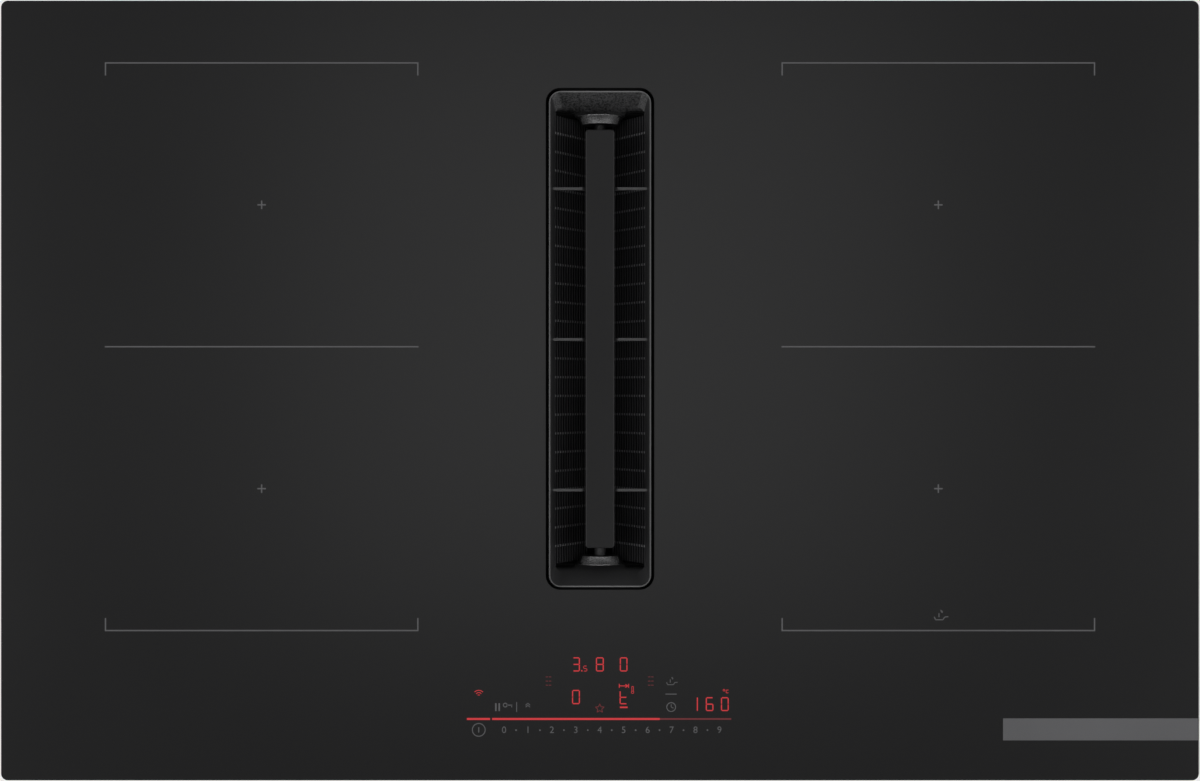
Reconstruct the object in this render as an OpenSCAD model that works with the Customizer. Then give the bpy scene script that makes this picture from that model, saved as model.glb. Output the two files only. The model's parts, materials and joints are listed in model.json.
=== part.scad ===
// Downdraft induction cooktop, in millimetres.
// +X is right, +Y is the rear and +Z is up. The origin lies on the worktop, under the middle of the glass.

/* [Glass] */
// Width of the glass plate
glass_w = 802; // [790:1:900]
// Depth of the glass plate
glass_d = 522; // [515:1:600]
// Thickness of the glass plate
glass_t = 4; // [3:0.5:6]
// Corner radius of the glass plate
glass_corner_r = 4.5; // [1:0.5:12]
// Height from the glass top to the lowest point
overall_h = 223; // [215:1:260]
// Thickness of the sealing tape
tape_t = 1; // [0.6:0.1:2]
// Width of the sealing tape
tape_w = 6; // [3:0.5:8]
// Distance from the glass edge to the sealing tape
tape_inset = 3; // [1:0.5:4]

/* [Cooking zones] */
// Width of one bridged zone
zone_w = 210; // [200:1:220]
// Distance from the glass side edge to the zone
zone_side = 69.5; // [60:0.5:80]
// Distance from the glass rear edge to the zone
zone_rear = 41.7; // [38:0.1:50]
// Distance from the glass front edge to the zone
zone_front = 100.3; // [96:0.1:110]
// Width of a printed line
mark_w = 0.9; // [0.6:0.1:2]
// Thickness of the print
mark_t = 0.1; // [0.1:0.1:0.3]
// Length of the short legs at the zone's corners
mark_leg = 8.4; // [4:0.2:20]
// Arm length of the cross in the middle of a coil
cross_arm = 2.85; // [2:0.05:8]
// Width of the plain grey band
band_w = 130.5; // [60:0.5:160]
// Distance from the glass side edge to the band
band_side = 0.7; // [0.5:0.1:20]
// Distance from the glass front edge to the band
band_front = 26.8; // [15:0.1:60]
// Depth of the plain grey band
band_d = 14.7; // [8:0.1:20]

/* [Intake opening] */
// Width of the opening in the glass
vent_w = 72.3; // [72:0.1:76]
// Distance from the glass rear edge to the opening
vent_rear = 58.6; // [54:0.1:66]
// Distance from the glass front edge to the opening
vent_front = 127.8; // [120:0.1:132]
// Corner radius of the opening
vent_r = 7; // [5:0.5:9]
// Clearance between a lift-out piece and its seat
seat_gap = 0.3; // [0.2:0.05:0.4]

/* [Grille] */
// Width of the grille rim
rim_w = 68.6; // [68:0.1:70]
// Gap between the glass and the ends of the grille rim
rim_gap = 1.1; // [0.8:0.1:2]
// Corner radius of the grille rim
rim_r = 8; // [6:0.5:9]
// Depth of the rim's top below the glass top
rim_depth = 6; // [5:0.5:8]
// Width of the middle bar
bar_w = 19.6; // [16:0.2:20]
// Gap between the middle bar's end and the end wall
bar_end_gap = 13.8; // [13.5:0.1:20]
// Height of the middle bar
bar_h = 57; // [52:1:60]
// Chamfer at the bar's edges
bar_chamfer = 1.2; // [0.5:0.1:2]
// Radius of the bar's pins
pin_r = 3.9; // [3:0.1:5]
// Radius of a boss at its front
boss_r = 13.2; // [12:0.1:14]
// Radius of a boss at the wall
boss_foot_r = 16.6; // [15:0.1:18]
// Length of a boss
boss_l = 6.9; // [6:0.1:7.2]
// Thickness of a cross rib
rib_t = 1.9; // [1.5:0.1:3]

/* [Filter] */
// Slope of the filter walls in degrees
filter_slope = 66; // [65:1:70]
// Thickness of the filter sheet
filter_t = 1.2; // [1:0.1:1.4]
// Number of slot rows between two cross ribs
rows_per_rib = 8; // [6:1:8]
// Width of the bridge between two rows
slot_bridge = 1.7; // [1:0.1:3]
// Distance between the slots of one row
slot_pitch = 7.8; // [6:0.1:10]
// Width of the web between two slots
slot_web = 2; // [1:0.1:3]
// Depth of the grease trough
trough_h = 14.4; // [10:0.2:15]

/* [Casing] */
// Distance from the glass edge to the tray
tray_margin = 17; // [16:0.5:18]
// Depth of the tray below the worktop's top
tray_h = 54; // [54:1:58]
// Thickness of the tray's sheet
tray_t = 1; // [0.8:0.1:1.4]
// Corner radius of the tray
tray_r = 6; // [3:0.5:8]
// Width of the support frame below the glass
frame_w = 12; // [10:0.5:16]
// Height of the support frame's side
frame_h = 15; // [12:0.5:16]
// Wall thickness of the moulded air ducts
duct_wall = 2.5; // [2:0.1:3]
// Clearance between fixed pieces
fit_gap = 0.3; // [0.2:0.05:0.4]

/* [Blower] */
// Width of the flat duct
duct_w = 222; // [200:1:230]
// Height of the flat duct
duct_h = 89; // [86:1:92]
// Length of the duct spigot
spigot_l = 40; // [30:1:42]
// Distance from the middle to the blower's axis
blower_x = 190; // [188:1:194]
// Position of the blower's axis from front to rear
blower_y = 10; // [0:1:20]
// Smallest radius of the scroll
scroll_r0 = 96; // [94:1:98]
// Largest radius of the scroll
scroll_r1 = 130; // [124:1:132]
// Outer radius of the impeller
impeller_r = 88; // [80:1:90]
// Height of the impeller
impeller_h = 68; // [60:1:69]
// Number of impeller blades
blade_count = 24; // [16:1:32]
// Radius of the inlet ring's throat
throat_r = 70; // [62:1:71]
// Radius of the motor shaft
shaft_r = 4; // [3:0.5:5]
// Radial clearance of a running shaft
run_gap = 0.05; // [0.02:0.01:0.1]

/* [Overflow tank] */
// Width of the tank's body
tank_w = 84; // [76:1:86]
// Depth of the tank
tank_h = 60; // [40:1:70]
// Wall thickness of the tank
tank_wall = 2; // [1.5:0.1:3]

/* [Coils] */
// Thickness of a coil winding
coil_t = 4.4; // [3:0.1:5]
// Inner radius of a coil winding
coil_in_r = 26; // [24:1:30]
// Clearance round a coil winding
coil_gap = 3; // [2:0.5:6]
// Number of turns marked in a winding
coil_turns = 9; // [5:1:12]
// Thickness of a coil carrier
carrier_t = 4; // [3:0.1:4.5]
// Thickness of a ferrite bar
ferrite_t = 4; // [3:0.1:4.5]
// Thickness of the insulation sheet
insulation_t = 0.8; // [0.5:0.1:1]

/* [Electronics] */
// Width of a power board
board_w = 186; // [150:1:190]
// Length of a power board
board_l = 130; // [110:1:134]
// Thickness of a circuit board
board_t = 1.6; // [1:0.1:2]
// Height of a board's standoffs
standoff_h = 8; // [6:0.5:9]
// Height of a heat sink
sink_h = 25; // [18:0.5:27]
// Side of a cooling fan
fan_w = 90; // [80:1:92]
// Height of a cooling fan
fan_h = 28; // [24:0.5:30]
// Width of the touch board
touch_w = 250; // [220:1:270]
// Depth of the touch board
touch_d = 62; // [50:1:64]

/* [Mains connection] */
// Width of the terminal box
box_w = 84; // [76:1:100]
// Depth of the terminal box
box_d = 64; // [60:1:70]
// Height of the terminal box
box_h = 26; // [26:0.5:34]
// Radius of the cable entry
gland_r = 6; // [5:0.5:8]

/* [Hidden] */
$fn = 64;
// A cut reaches this far past what it cuts
overrun = 2;

// Heights
glass_under = tape_t;
glass_top = glass_under + glass_t;
bottom_z = glass_top - overall_h;
tray_bottom = -tray_h;
tray_floor = tray_bottom + tray_t;
blower_top = bottom_z + duct_h;

// Glass and casing
tray_w = glass_w - 2 * tray_margin;
tray_d = glass_d - 2 * tray_margin;
frame_outer_w = tray_w + 2 * (fit_gap + tray_t);
frame_outer_d = tray_d + 2 * (fit_gap + tray_t);
frame_top_t = 0.8;
tray_top = glass_under - frame_top_t;
zone_l = glass_d - zone_rear - zone_front;
zone_x = glass_w / 2 - zone_side - zone_w / 2;
zone_y = (zone_front - zone_rear) / 2;
coil_dy = zone_l / 4;
vent_l = glass_d - vent_rear - vent_front;
vent_y = (vent_front - vent_rear) / 2;

// Grille
rim_l = vent_l - 2 * rim_gap;
rim_top = glass_top - rim_depth;
rim_line = 1.3;
wall_h = 15;
wall_t = 3.4;
wall_bottom = rim_top - wall_h;
wall_in_w = rim_w - 2 * wall_t;
slope_h = 22;
slope_run = 12.7;
slope_bottom = rim_top - slope_h;
end_in_l = rim_l - 2 * slope_run;
end_t = 2.5;
end_plate_w = 60;
boss_drop = 42;
boss_z = rim_top - boss_drop;
end_bottom = boss_z - boss_foot_r - end_t;
boss_steps = 6;
boss_flare_share = 0.6;
bar_l = end_in_l - 2 * bar_end_gap;
rib_pitch_share = 0.33117;
rib_pitch = end_in_l * rib_pitch_share;
rib_depth = 11;
rib_top = rim_top - rib_depth;
rib_h = wall_h - rib_depth;
rib_drop = 8;
rib_toe = 4;
bar_gap = 0.3;
bar_corner_r = 2;
bar_foot_w = 12;
bar_taper_h = 14;

// Filter insert
end_gap = 0.6;
filter_l = end_in_l - 2 * end_gap;
slot_row_pitch = rib_pitch / rows_per_rib;
flange_top = wall_bottom - seat_gap;
flange_t = 1.7;
flange_bottom = flange_top - flange_t;
flange_gap = 0.5;
flange_side = 5.95;
flange_w = vent_w - 2 * flange_gap;
filter_top_w = flange_w - 2 * flange_side;
trough_side = 2.5;
filter_bottom_w = bar_foot_w + 2 * trough_side;
filter_drop = (filter_top_w - filter_bottom_w) / 2 * tan(filter_slope);
filter_bottom = flange_bottom - filter_drop;
filter_run = filter_drop / sin(filter_slope);
sheet_x = filter_t / sin(filter_slope);
notch_gap = 0.7;
notch_r = boss_foot_r + notch_gap;
trough_floor = filter_bottom - trough_h;
end_frame = 6;
slope_edge = 5;

// Collar and shaft
collar_t = 2.5;
collar_flange = 10;
collar_wall = 2.5;
collar_joint = 0.2;
ledge_top = flange_bottom - seat_gap;
ledge_t = 2;
ledge_w = 2.4;
collar_bottom = ledge_top - ledge_t;
collar_flange_z = glass_under - collar_t;
shaft_step = 7.35;
shaft_end_step = 7.7;
shaft_w = vent_w + 2 * shaft_step;
shaft_l = vent_l + 2 * shaft_end_step;
shaft_corner_r = 12;
plenum_ceiling = tray_bottom - duct_wall;

// Plenum and blower
plenum_side = 6.5;
plenum_edge = 5;
plenum_left = shaft_w / 2 + plenum_side;
plenum_right = blower_x + scroll_r1 + plenum_edge;
plenum_front = vent_y - shaft_l / 2 - plenum_edge;
plenum_rear = vent_y + shaft_l / 2 + plenum_edge;
plenum_w = plenum_right + plenum_left;
plenum_d = plenum_rear - plenum_front;
plenum_r = 10;
eye_gap = 6;
eye_r = impeller_r + eye_gap;
ring_flange = 10;
ring_t = 2;
throat_h = 7.5;
scroll_start = 120;
scroll_end = 360;
scroll_step = 6;
outlet_back = 12;
outlet_y = plenum_rear - outlet_back;
lug_r = 8;
lug_t = 4;
lug_reach = 6;
lug_angles = [165, 207, 261, 315];
blade_t = 1.2;
blade_chord = 13;
blade_angle = 35;
impeller_plate_t = 3;
impeller_lift = 10;
impeller_bottom = bottom_z + impeller_lift;
hub_r = 36;
hub_t = 3;
hub_h = 43;
stator_r = 30;
stator_gap = 4;
motor_foot_r = 40;
motor_foot_t = 3.5;
bearing_r = 11;
bearing_w = 7;
shaft_end_gap = 2.5;

// Tank
tank_over = 1.2;
tank_l = vent_l + 2 * tank_over;
drain_edge = 6;
drain_end = 9;
drain_w = tank_w - 2 * drain_edge;
drain_l = tank_l - 2 * drain_end;
tank_top = blower_top - seat_gap;
tank_rim = 5;
tank_rim_t = 2;
rail_t = 2;
grip_w = 50;
grip_d = 12;
tank_r = 6;

// Coils and what they lie on
insulation_z = glass_under - insulation_t;
coil_z = insulation_z - coil_t;
carrier_z = coil_z - carrier_t;
ferrite_z = carrier_z - ferrite_t;
plate_t = 1.5;
plate_z = ferrite_z - plate_t;
coil_r = coil_dy - coil_gap;
turn_groove = 0.6;
carrier_edge = 1;
carrier_r = coil_r + carrier_edge;
carrier_hole_r = 8;
sensor_r = 4;
ferrite_count = 8;
ferrite_in_r = 28;
ferrite_w = 12;
ferrite_end = 5;
ferrite_l = coil_r - ferrite_in_r - ferrite_end;

// Boards
board_rear = 33;
board_y = zone_y + zone_l / 2 - board_l / 2 - board_rear;
board_z = tray_floor + standoff_h;
board_top = board_z + board_t;
standoff_r = 3;
board_edge = 8;
sink_w = 150;
sink_d = 42;
sink_fins = 12;
sink_fin_t = 1.8;
sink_base = 4;
capacitor_r = 11;
capacitor_h = 24;
capacitor_pitch = 28;
filter_board_w = 110;
filter_board_l = 76;
board_spacing = 7;
filter_board_y = board_y - board_l / 2 - filter_board_l / 2 - board_spacing;
choke_r = 16;
choke_h = 22;
fan_front = 34;
fan_y = zone_y - zone_l / 2 - fan_front;
fan_wall = 2;
fan_inlet_r = 30;
fan_hub_r = 14;
fan_rotor_r = 38;
fan_blades = 13;
fan_blade_t = 1;
fan_post_r = 2;
fan_side_gap = 2;
carrier_frame = 6;
display_t = 9;
touch_front = 12;
touch_y = tray_margin + touch_d / 2 + touch_front - glass_d / 2;

// Terminal box
box_t = 2;
box_side = 62;
box_rear = 10;
box_x = -zone_x - box_side;
box_y = tray_d / 2 - box_d / 2 - box_rear;
box_bottom = tray_bottom - box_h;
knuckle_r = 3.5;
hinge_r = 1.5;
hinge_gap = 0.5;
hinge_y = box_y - box_d / 2 - knuckle_r - hinge_gap;
hinge_z = box_bottom - fit_gap - box_t / 2;
knuckle_l = 20;
block_w = 60;
block_d = 22;
block_h = 15;
block_ways = 5;
gland_wall = 4;
gland_rim = 3;
gland_body_r = gland_r + gland_wall;
gland_flange_r = gland_body_r + gland_rim;
gland_flange_t = 3;
gland_l = 16;
gland_z = box_bottom + box_h / 2;

// Clamps and screws
clamp_w = 30;
clamp_t = 2;
clamp_h = 30;
clamp_tooth = 3;
clamp_drop = 2;
clamp_top = -frame_h - clamp_drop;
clamp_y_share = 0.5;
screw_r = 2;
screw_gap = 0.2;
screw_head_r = 4;
screw_head_t = 1.6;
screw_l = 7;
tray_screw_z = -frame_h / 2;
clamp_screw_z = clamp_top - clamp_h / 2;
vent_slot_w = 4;
vent_slot_l = 60;
vent_slot_pitch = 9;
vent_slots = 7;
tray_side_share = 0.32;
tray_end_share = 0.36;

// Each tray screw: its side (turn about Z), the distance from the middle to the frame and along the side
tray_screw_places = [
    for (s = [-1, 1], t = [-1, 1]) [90 - 90 * s, frame_outer_w / 2, t * frame_outer_d * tray_side_share],
    for (s = [-1, 1], t = [-1, 0, 1]) [90 * s, frame_outer_d / 2, t * frame_outer_w * tray_end_share]
];

function scroll_r(a) =
    scroll_r0 + (scroll_r1 - scroll_r0) * (a - scroll_start) / (scroll_end - scroll_start);

module rounded(w, d, r) {
    square([w - 2 * r, d], center = true);
    square([w, d - 2 * r], center = true);
    for (sx = [-1, 1], sy = [-1, 1])
        translate([sx * (w / 2 - r), sy * (d / 2 - r)]) circle(r);
}

// A plate with rounded corners from height z0 to z1
module slab(w, d, r, z0, z1) {
    translate([0, 0, z0]) linear_extrude(z1 - z0) rounded(w, d, r);
}

// A rectangular ring from height z0 to z1
module frame_ring(w, d, r, in_w, in_d, in_r, z0, z1) {
    difference() {
        slab(w, d, r, z0, z1);
        slab(in_w, in_d, in_r, z0 - overrun, z1 + overrun);
    }
}

module block(x0, x1, y0, y1, z0, z1) {
    translate([x0, y0, z0]) cube([x1 - x0, y1 - y0, z1 - z0]);
}

// An outline in X and Z, drawn out along Y and centred there
module along_y(l) {
    translate([0, l / 2, 0]) rotate([90, 0, 0]) linear_extrude(l) children();
}

// An outline in Y and Z, drawn out along X and centred there
module along_x(l) {
    translate([-l / 2, 0, 0]) rotate([90, 0, 90]) linear_extrude(l) children();
}

module at_vent() {
    translate([0, vent_y, 0]) children();
}

module both_sides() {
    for (s = [-1, 1]) translate([s * zone_x, 0, 0]) children();
}

module glass_plate() {
    color([0.04, 0.04, 0.045]) difference() {
        slab(glass_w, glass_d, glass_corner_r, glass_under, glass_top);
        at_vent() slab(vent_w, vent_l, vent_r, glass_under - overrun, glass_top + overrun);
    }
}

module bar_mark(w) {
    translate([-w / 2, -mark_w / 2]) square([w, mark_w]);
}

module zone_bracket() {
    bar_mark(zone_w);
    for (s = [-1, 1])
        translate([s * (zone_w - mark_w) / 2 - mark_w / 2, -mark_leg]) square([mark_w, mark_leg]);
}

module zone_marks() {
    color([0.35, 0.35, 0.36])
        translate([0, 0, glass_top]) linear_extrude(mark_t) both_sides() translate([0, zone_y]) {
            bar_mark(zone_w);
            for (s = [0, 1]) mirror([0, s]) translate([0, zone_l / 2]) zone_bracket();
            for (s = [-1, 1]) translate([0, s * coil_dy]) {
                bar_mark(2 * cross_arm);
                rotate(90) bar_mark(2 * cross_arm);
            }
        }
}

module label_band() {
    color([0.36, 0.36, 0.37])
        translate([glass_w / 2 - band_side - band_w, band_front - glass_d / 2, glass_top])
            cube([band_w, band_d, mark_t]);
}

module sealing_tape() {
    color([0.1, 0.1, 0.1])
        frame_ring(glass_w - 2 * tape_inset, glass_d - 2 * tape_inset, glass_corner_r,
            glass_w - 2 * (tape_inset + tape_w), glass_d - 2 * (tape_inset + tape_w),
            glass_corner_r, 0, glass_under);
}

module screw_hole_set(places, z) {
    for (p = places) rotate(p[0]) translate([p[1], p[2], z]) rotate([0, 90, 0])
        cylinder(h = 6 * overrun, r = screw_r + screw_gap, center = true);
}

module screw_set(places, z) {
    for (p = places) rotate(p[0]) translate([p[1], p[2], z]) rotate([0, 90, 0]) {
        cylinder(h = screw_head_t, r = screw_head_r);
        translate([0, 0, -screw_l]) cylinder(h = screw_l + screw_head_t / 2, r = screw_r);
    }
}

module support_frame() {
    color([0.75, 0.76, 0.77]) difference() {
        union() {
            frame_ring(frame_outer_w, frame_outer_d, tray_r, tray_w - 2 * frame_w, tray_d - 2 * frame_w,
                tray_r, tray_top, glass_under);
            frame_ring(frame_outer_w, frame_outer_d, tray_r + tray_t, tray_w + 2 * fit_gap,
                tray_d + 2 * fit_gap, tray_r, -frame_h, tray_top + frame_top_t / 2);
        }
        screw_hole_set(tray_screw_places, tray_screw_z);
    }
}

clamp_places = [
    for (s = [-1, 1], t = [-1, 1]) [90 - 90 * s, tray_w / 2 + clamp_t, t * clamp_y_share * tray_d / 2]
];

module base_tray() {
    color([0.70, 0.71, 0.72]) difference() {
        slab(tray_w, tray_d, tray_r, tray_bottom, tray_top);
        slab(tray_w - 2 * tray_t, tray_d - 2 * tray_t, tray_r - tray_t, tray_floor, overrun);
        at_vent() slab(shaft_w + 2 * fit_gap, shaft_l + 2 * fit_gap, shaft_corner_r + fit_gap,
            tray_bottom - overrun, tray_floor + overrun);
        screw_hole_set(tray_screw_places, tray_screw_z);
        screw_hole_set(clamp_places, clamp_screw_z);
        both_sides() for (i = [0:vent_slots - 1])
            translate([0, fan_y + (i - (vent_slots - 1) / 2) * vent_slot_pitch, tray_bottom])
                cube([vent_slot_l, vent_slot_w, 2 * overrun], center = true);
        for (s = [-1, 1], i = [0:vent_slots - 1])
            translate([s * zone_x + (i - (vent_slots - 1) / 2) * 2 * vent_slot_pitch, tray_d / 2,
                tray_bottom / 2])
                cube([vent_slot_w, 4 * overrun, tray_h / 2], center = true);
    }
}

// Four rails in a rectangle under the glass, and the ledges that carry the filter
module vent_collar() {
    side = [
        [vent_w / 2, collar_bottom], [vent_w / 2, glass_under],
        [vent_w / 2 + collar_flange, glass_under], [vent_w / 2 + collar_flange, collar_flange_z],
        [vent_w / 2 + collar_wall, collar_flange_z], [vent_w / 2 + collar_wall, collar_bottom]
    ];
    color([0.08, 0.08, 0.08]) at_vent() {
        for (s = [0, 1]) mirror([s, 0, 0]) {
            along_y(vent_l - 2 * collar_joint) polygon(side);
            block(vent_w / 2 - collar_joint - ledge_w, vent_w / 2 - collar_joint, -filter_l / 2, filter_l / 2,
                collar_bottom, ledge_top);
        }
        for (s = [0, 1]) mirror([0, s, 0]) {
            block(-vent_w / 2 - collar_flange, vent_w / 2 + collar_flange, vent_l / 2,
                vent_l / 2 + collar_flange, collar_flange_z, glass_under);
            block(-vent_w / 2, vent_w / 2, vent_l / 2, vent_l / 2 + collar_wall,
                collar_bottom, collar_flange_z + collar_t / 2);
        }
    }
}

module intake_shaft() {
    color([0.10, 0.10, 0.11]) at_vent()
        frame_ring(shaft_w, shaft_l, shaft_corner_r, shaft_w - 2 * duct_wall, shaft_l - 2 * duct_wall,
            shaft_corner_r - duct_wall, plenum_ceiling, collar_flange_z);
}

// The cavity of the grille: two outlines, one across and one along, and the rounded rim in common
module grille_cavity() {
    across = [
        [rim_w / 2 - rim_line, overrun + rim_top], [rim_w / 2 - rim_line, rim_top],
        [wall_in_w / 2, wall_bottom], [wall_in_w / 2, end_bottom - overrun]
    ];
    lengthways = [
        [rim_l / 2 - rim_line, overrun + rim_top], [rim_l / 2 - rim_line, rim_top],
        [end_in_l / 2, slope_bottom], [end_in_l / 2, end_bottom - overrun]
    ];
    intersection() {
        along_y(rim_l) polygon(mirrored(across));
        along_x(rim_w) polygon(mirrored(lengthways));
        slab(rim_w - rim_line, rim_l - rim_line, rim_r - rim_line / 2, end_bottom - overrun,
            rim_top + overrun);
    }
}

// A half outline and its mirror image as one outline
function mirrored(half) = concat(half, [for (i = [len(half) - 1:-1:0]) [-half[i][0], half[i][1]]]);

module grille_boss() {
    rotate([90, 0, 0]) rotate_extrude() polygon(concat(
        [[pin_r + run_gap, 0], [boss_foot_r, 0]],
        [for (i = [0:boss_steps]) let (a = 90 * i / boss_steps)
            [boss_r + (boss_foot_r - boss_r) * (1 - sin(a)),
                boss_l * (1 - cos(a)) * boss_flare_share + end_t / 4]],
        [[boss_r, boss_l], [pin_r + run_gap, boss_l]]
    ));
}

module grille_rib() {
    along_y(rib_t) polygon([
        [wall_in_w / 2 + end_t / 2, rib_top], [bar_w / 2 + rib_toe / 2, rib_top],
        [bar_w / 2 + bar_gap, rib_top - rib_toe / 2], [bar_w / 2 + bar_gap, rib_top - rib_drop],
        [bar_w / 2 + rib_toe, rib_top - rib_drop], [bar_w / 2 + 2 * rib_toe, rib_top - rib_h],
        [wall_in_w / 2 + end_t / 2, rib_top - rib_h]
    ]);
}

module grille_frame() {
    end_block = [
        [end_in_l / 2 - end_t, wall_bottom + end_t], [rim_l / 2 - end_t, wall_bottom + end_t],
        [end_in_l / 2 + end_t + slope_run * (slope_h - wall_h) / slope_h, wall_bottom],
        [end_in_l / 2 + end_t, slope_bottom], [end_in_l / 2 + end_t, end_bottom],
        [end_in_l / 2 - end_t, end_bottom]
    ];
    color([0.13, 0.13, 0.13]) at_vent() {
        difference() {
            union() {
                slab(rim_w, rim_l, rim_r, wall_bottom, rim_top);
                for (s = [0, 1]) mirror([0, s, 0]) along_x(end_plate_w) polygon(end_block);
            }
            grille_cavity();
            for (s = [0, 1]) mirror([0, s, 0]) translate([0, end_in_l / 2 + end_t / 2, boss_z])
                rotate([90, 0, 0]) cylinder(h = end_t + overrun, r = pin_r + run_gap);
        }
        for (s = [0, 1]) mirror([0, s, 0]) translate([0, end_in_l / 2, boss_z]) grille_boss();
        for (s = [0, 1], i = [-1:1]) mirror([s, 0, 0]) translate([0, i * rib_pitch, 0]) grille_rib();
    }
}

module grille_bar() {
    across = [
        [bar_w / 2 - bar_chamfer, glass_top], [bar_w / 2, glass_top - bar_chamfer],
        [bar_w / 2, glass_top - bar_h + bar_taper_h], [bar_foot_w / 2, glass_top - bar_h]
    ];
    lengthways = [
        [bar_l / 2 - bar_chamfer, glass_top], [bar_l / 2, glass_top - bar_chamfer],
        [bar_l / 2, glass_top - bar_h]
    ];
    color([0.15, 0.15, 0.15]) at_vent() {
        intersection() {
            slab(bar_w, bar_l, bar_corner_r, glass_top - bar_h, glass_top);
            along_y(bar_l) polygon(mirrored(across));
            along_x(bar_w) polygon(mirrored(lengthways));
        }
        for (s = [-1, 1]) translate([0, s * (bar_l / 2 - bar_corner_r), boss_z]) rotate([-90 * s, 0, 0])
            cylinder(h = end_in_l / 2 - bar_l / 2 + bar_corner_r - end_t / 2 + end_t / 4, r = pin_r);
    }
}

module filter_flange() {
    color([0.62, 0.63, 0.64]) at_vent() difference() {
        frame_ring(flange_w, filter_l, filter_t, filter_top_w, filter_l - 2 * filter_t, filter_t,
            flange_bottom, flange_top);
        block(-notch_r, notch_r, -filter_l, filter_l, flange_bottom - overrun, flange_top + overrun);
    }
}

// The slotted sheet: it starts below the flange and leans inwards to the trough
module filter_panel() {
    rows = 2 * floor((filter_l - 2 * filter_t - end_frame) / slot_row_pitch / 2);
    cols = floor((filter_run - 2 * slope_edge + slot_web) / slot_pitch);
    panel_l = filter_l - 2 * filter_t;
    first = -(cols * slot_pitch - slot_web) / 2;
    color([0.55, 0.56, 0.57]) at_vent() difference() {
        translate([filter_top_w / 2, 0, flange_bottom]) rotate([0, 180 - filter_slope, 0])
            difference() {
                translate([-overrun, -panel_l / 2, 0]) cube([filter_run + 2 * overrun, panel_l, filter_t]);
                for (i = [0:rows - 1], j = [0:cols - 1])
                    translate([filter_run / 2 + first + j * slot_pitch,
                        (i - rows / 2) * slot_row_pitch + slot_bridge / 2, -overrun])
                        cube([slot_pitch - slot_web, slot_row_pitch - slot_bridge, filter_t + 2 * overrun]);
            }
        block(0, rim_w, -filter_l, filter_l, flange_bottom, flange_top + filter_drop);
        block(-rim_w, rim_w, -filter_l, filter_l, trough_floor - filter_drop, filter_bottom);
    }
}

module filter_trough() {
    color([0.60, 0.61, 0.62]) at_vent() difference() {
        block(-filter_bottom_w / 2 - sheet_x, filter_bottom_w / 2 + sheet_x,
            -filter_l / 2 + filter_t, filter_l / 2 - filter_t, trough_floor, filter_bottom);
        block(-filter_bottom_w / 2, filter_bottom_w / 2, -filter_l, filter_l,
            trough_floor + filter_t, filter_bottom + overrun);
    }
}

module filter_end_caps() {
    half = [
        [filter_top_w / 2 + sheet_x, flange_bottom], [filter_bottom_w / 2 + sheet_x, filter_bottom],
        [filter_bottom_w / 2 + sheet_x, trough_floor]
    ];
    color([0.60, 0.61, 0.62]) at_vent() for (s = [-1, 1])
        translate([0, s * (filter_l - filter_t) / 2, 0]) difference() {
            along_y(filter_t) polygon(mirrored(half));
            block(-notch_r, notch_r, -overrun, overrun, boss_z, glass_top);
            translate([0, 0, boss_z]) rotate([90, 0, 0])
                cylinder(h = 2 * overrun, r = notch_r, center = true);
        }
}

module at_plenum() {
    translate([(plenum_right - plenum_left) / 2, (plenum_rear + plenum_front) / 2, 0]) children();
}

module plenum_housing() {
    color([0.12, 0.12, 0.13]) difference() {
        at_plenum() slab(plenum_w, plenum_d, plenum_r, blower_top, plenum_ceiling);
        at_plenum() slab(plenum_w - 2 * duct_wall, plenum_d - 2 * duct_wall, plenum_r - duct_wall,
            blower_top + duct_wall, plenum_ceiling + overrun);
        at_vent() slab(drain_w, drain_l, plenum_r, blower_top - overrun, blower_top + duct_wall + overrun);
        at_blower(blower_top - overrun) cylinder(h = duct_wall + 2 * overrun, r = eye_r);
        at_lugs(blower_top - overrun) cylinder(h = duct_wall + 2 * overrun, r = screw_r + screw_gap);
    }
}

module plenum_cover() {
    color([0.13, 0.13, 0.14]) difference() {
        at_plenum() slab(plenum_w, plenum_d, plenum_r, plenum_ceiling, tray_bottom);
        at_vent() slab(shaft_w + 2 * fit_gap, shaft_l + 2 * fit_gap, shaft_corner_r + fit_gap,
            plenum_ceiling - overrun, tray_bottom + overrun);
    }
}

module at_blower(z) {
    translate([blower_x, blower_y, z]) children();
}

module inlet_ring() {
    top = blower_top + duct_wall;
    color([0.68, 0.69, 0.70]) at_blower(top) rotate_extrude() polygon([
        [throat_r, ring_t], [eye_r + ring_flange, ring_t], [eye_r + ring_flange, 0],
        [throat_r + 2 * ring_t, 0], [throat_r + ring_t, -ring_t], [throat_r + ring_t, -throat_h],
        [throat_r, -throat_h]
    ]);
}

// The scroll's outline, drawn in by a wall
module scroll(inset, rear) {
    right = scroll_r1 - inset;
    left = scroll_r1 - duct_w + inset;
    polygon([
        for (a = [scroll_start:scroll_step:scroll_end]) (scroll_r(a) - inset) * [cos(a), sin(a)]
    ]);
    translate([left, 0]) square([right - left, rear - blower_y]);
}

module at_lugs(z) {
    for (a = lug_angles) at_blower(z) rotate(a) translate([scroll_r(a) + lug_reach, 0, 0]) children();
}

module blower_housing() {
    color([0.12, 0.12, 0.13]) difference() {
        union() {
            at_blower(bottom_z) linear_extrude(duct_h) scroll(0, outlet_y);
            at_lugs(blower_top - lug_t) cylinder(h = lug_t, r = lug_r);
        }
        at_blower(bottom_z + duct_wall) linear_extrude(duct_h) scroll(duct_wall, outlet_y + overrun);
        at_lugs(blower_top - lug_t - overrun) cylinder(h = lug_t + 2 * overrun, r = screw_r + screw_gap);
    }
}

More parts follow.
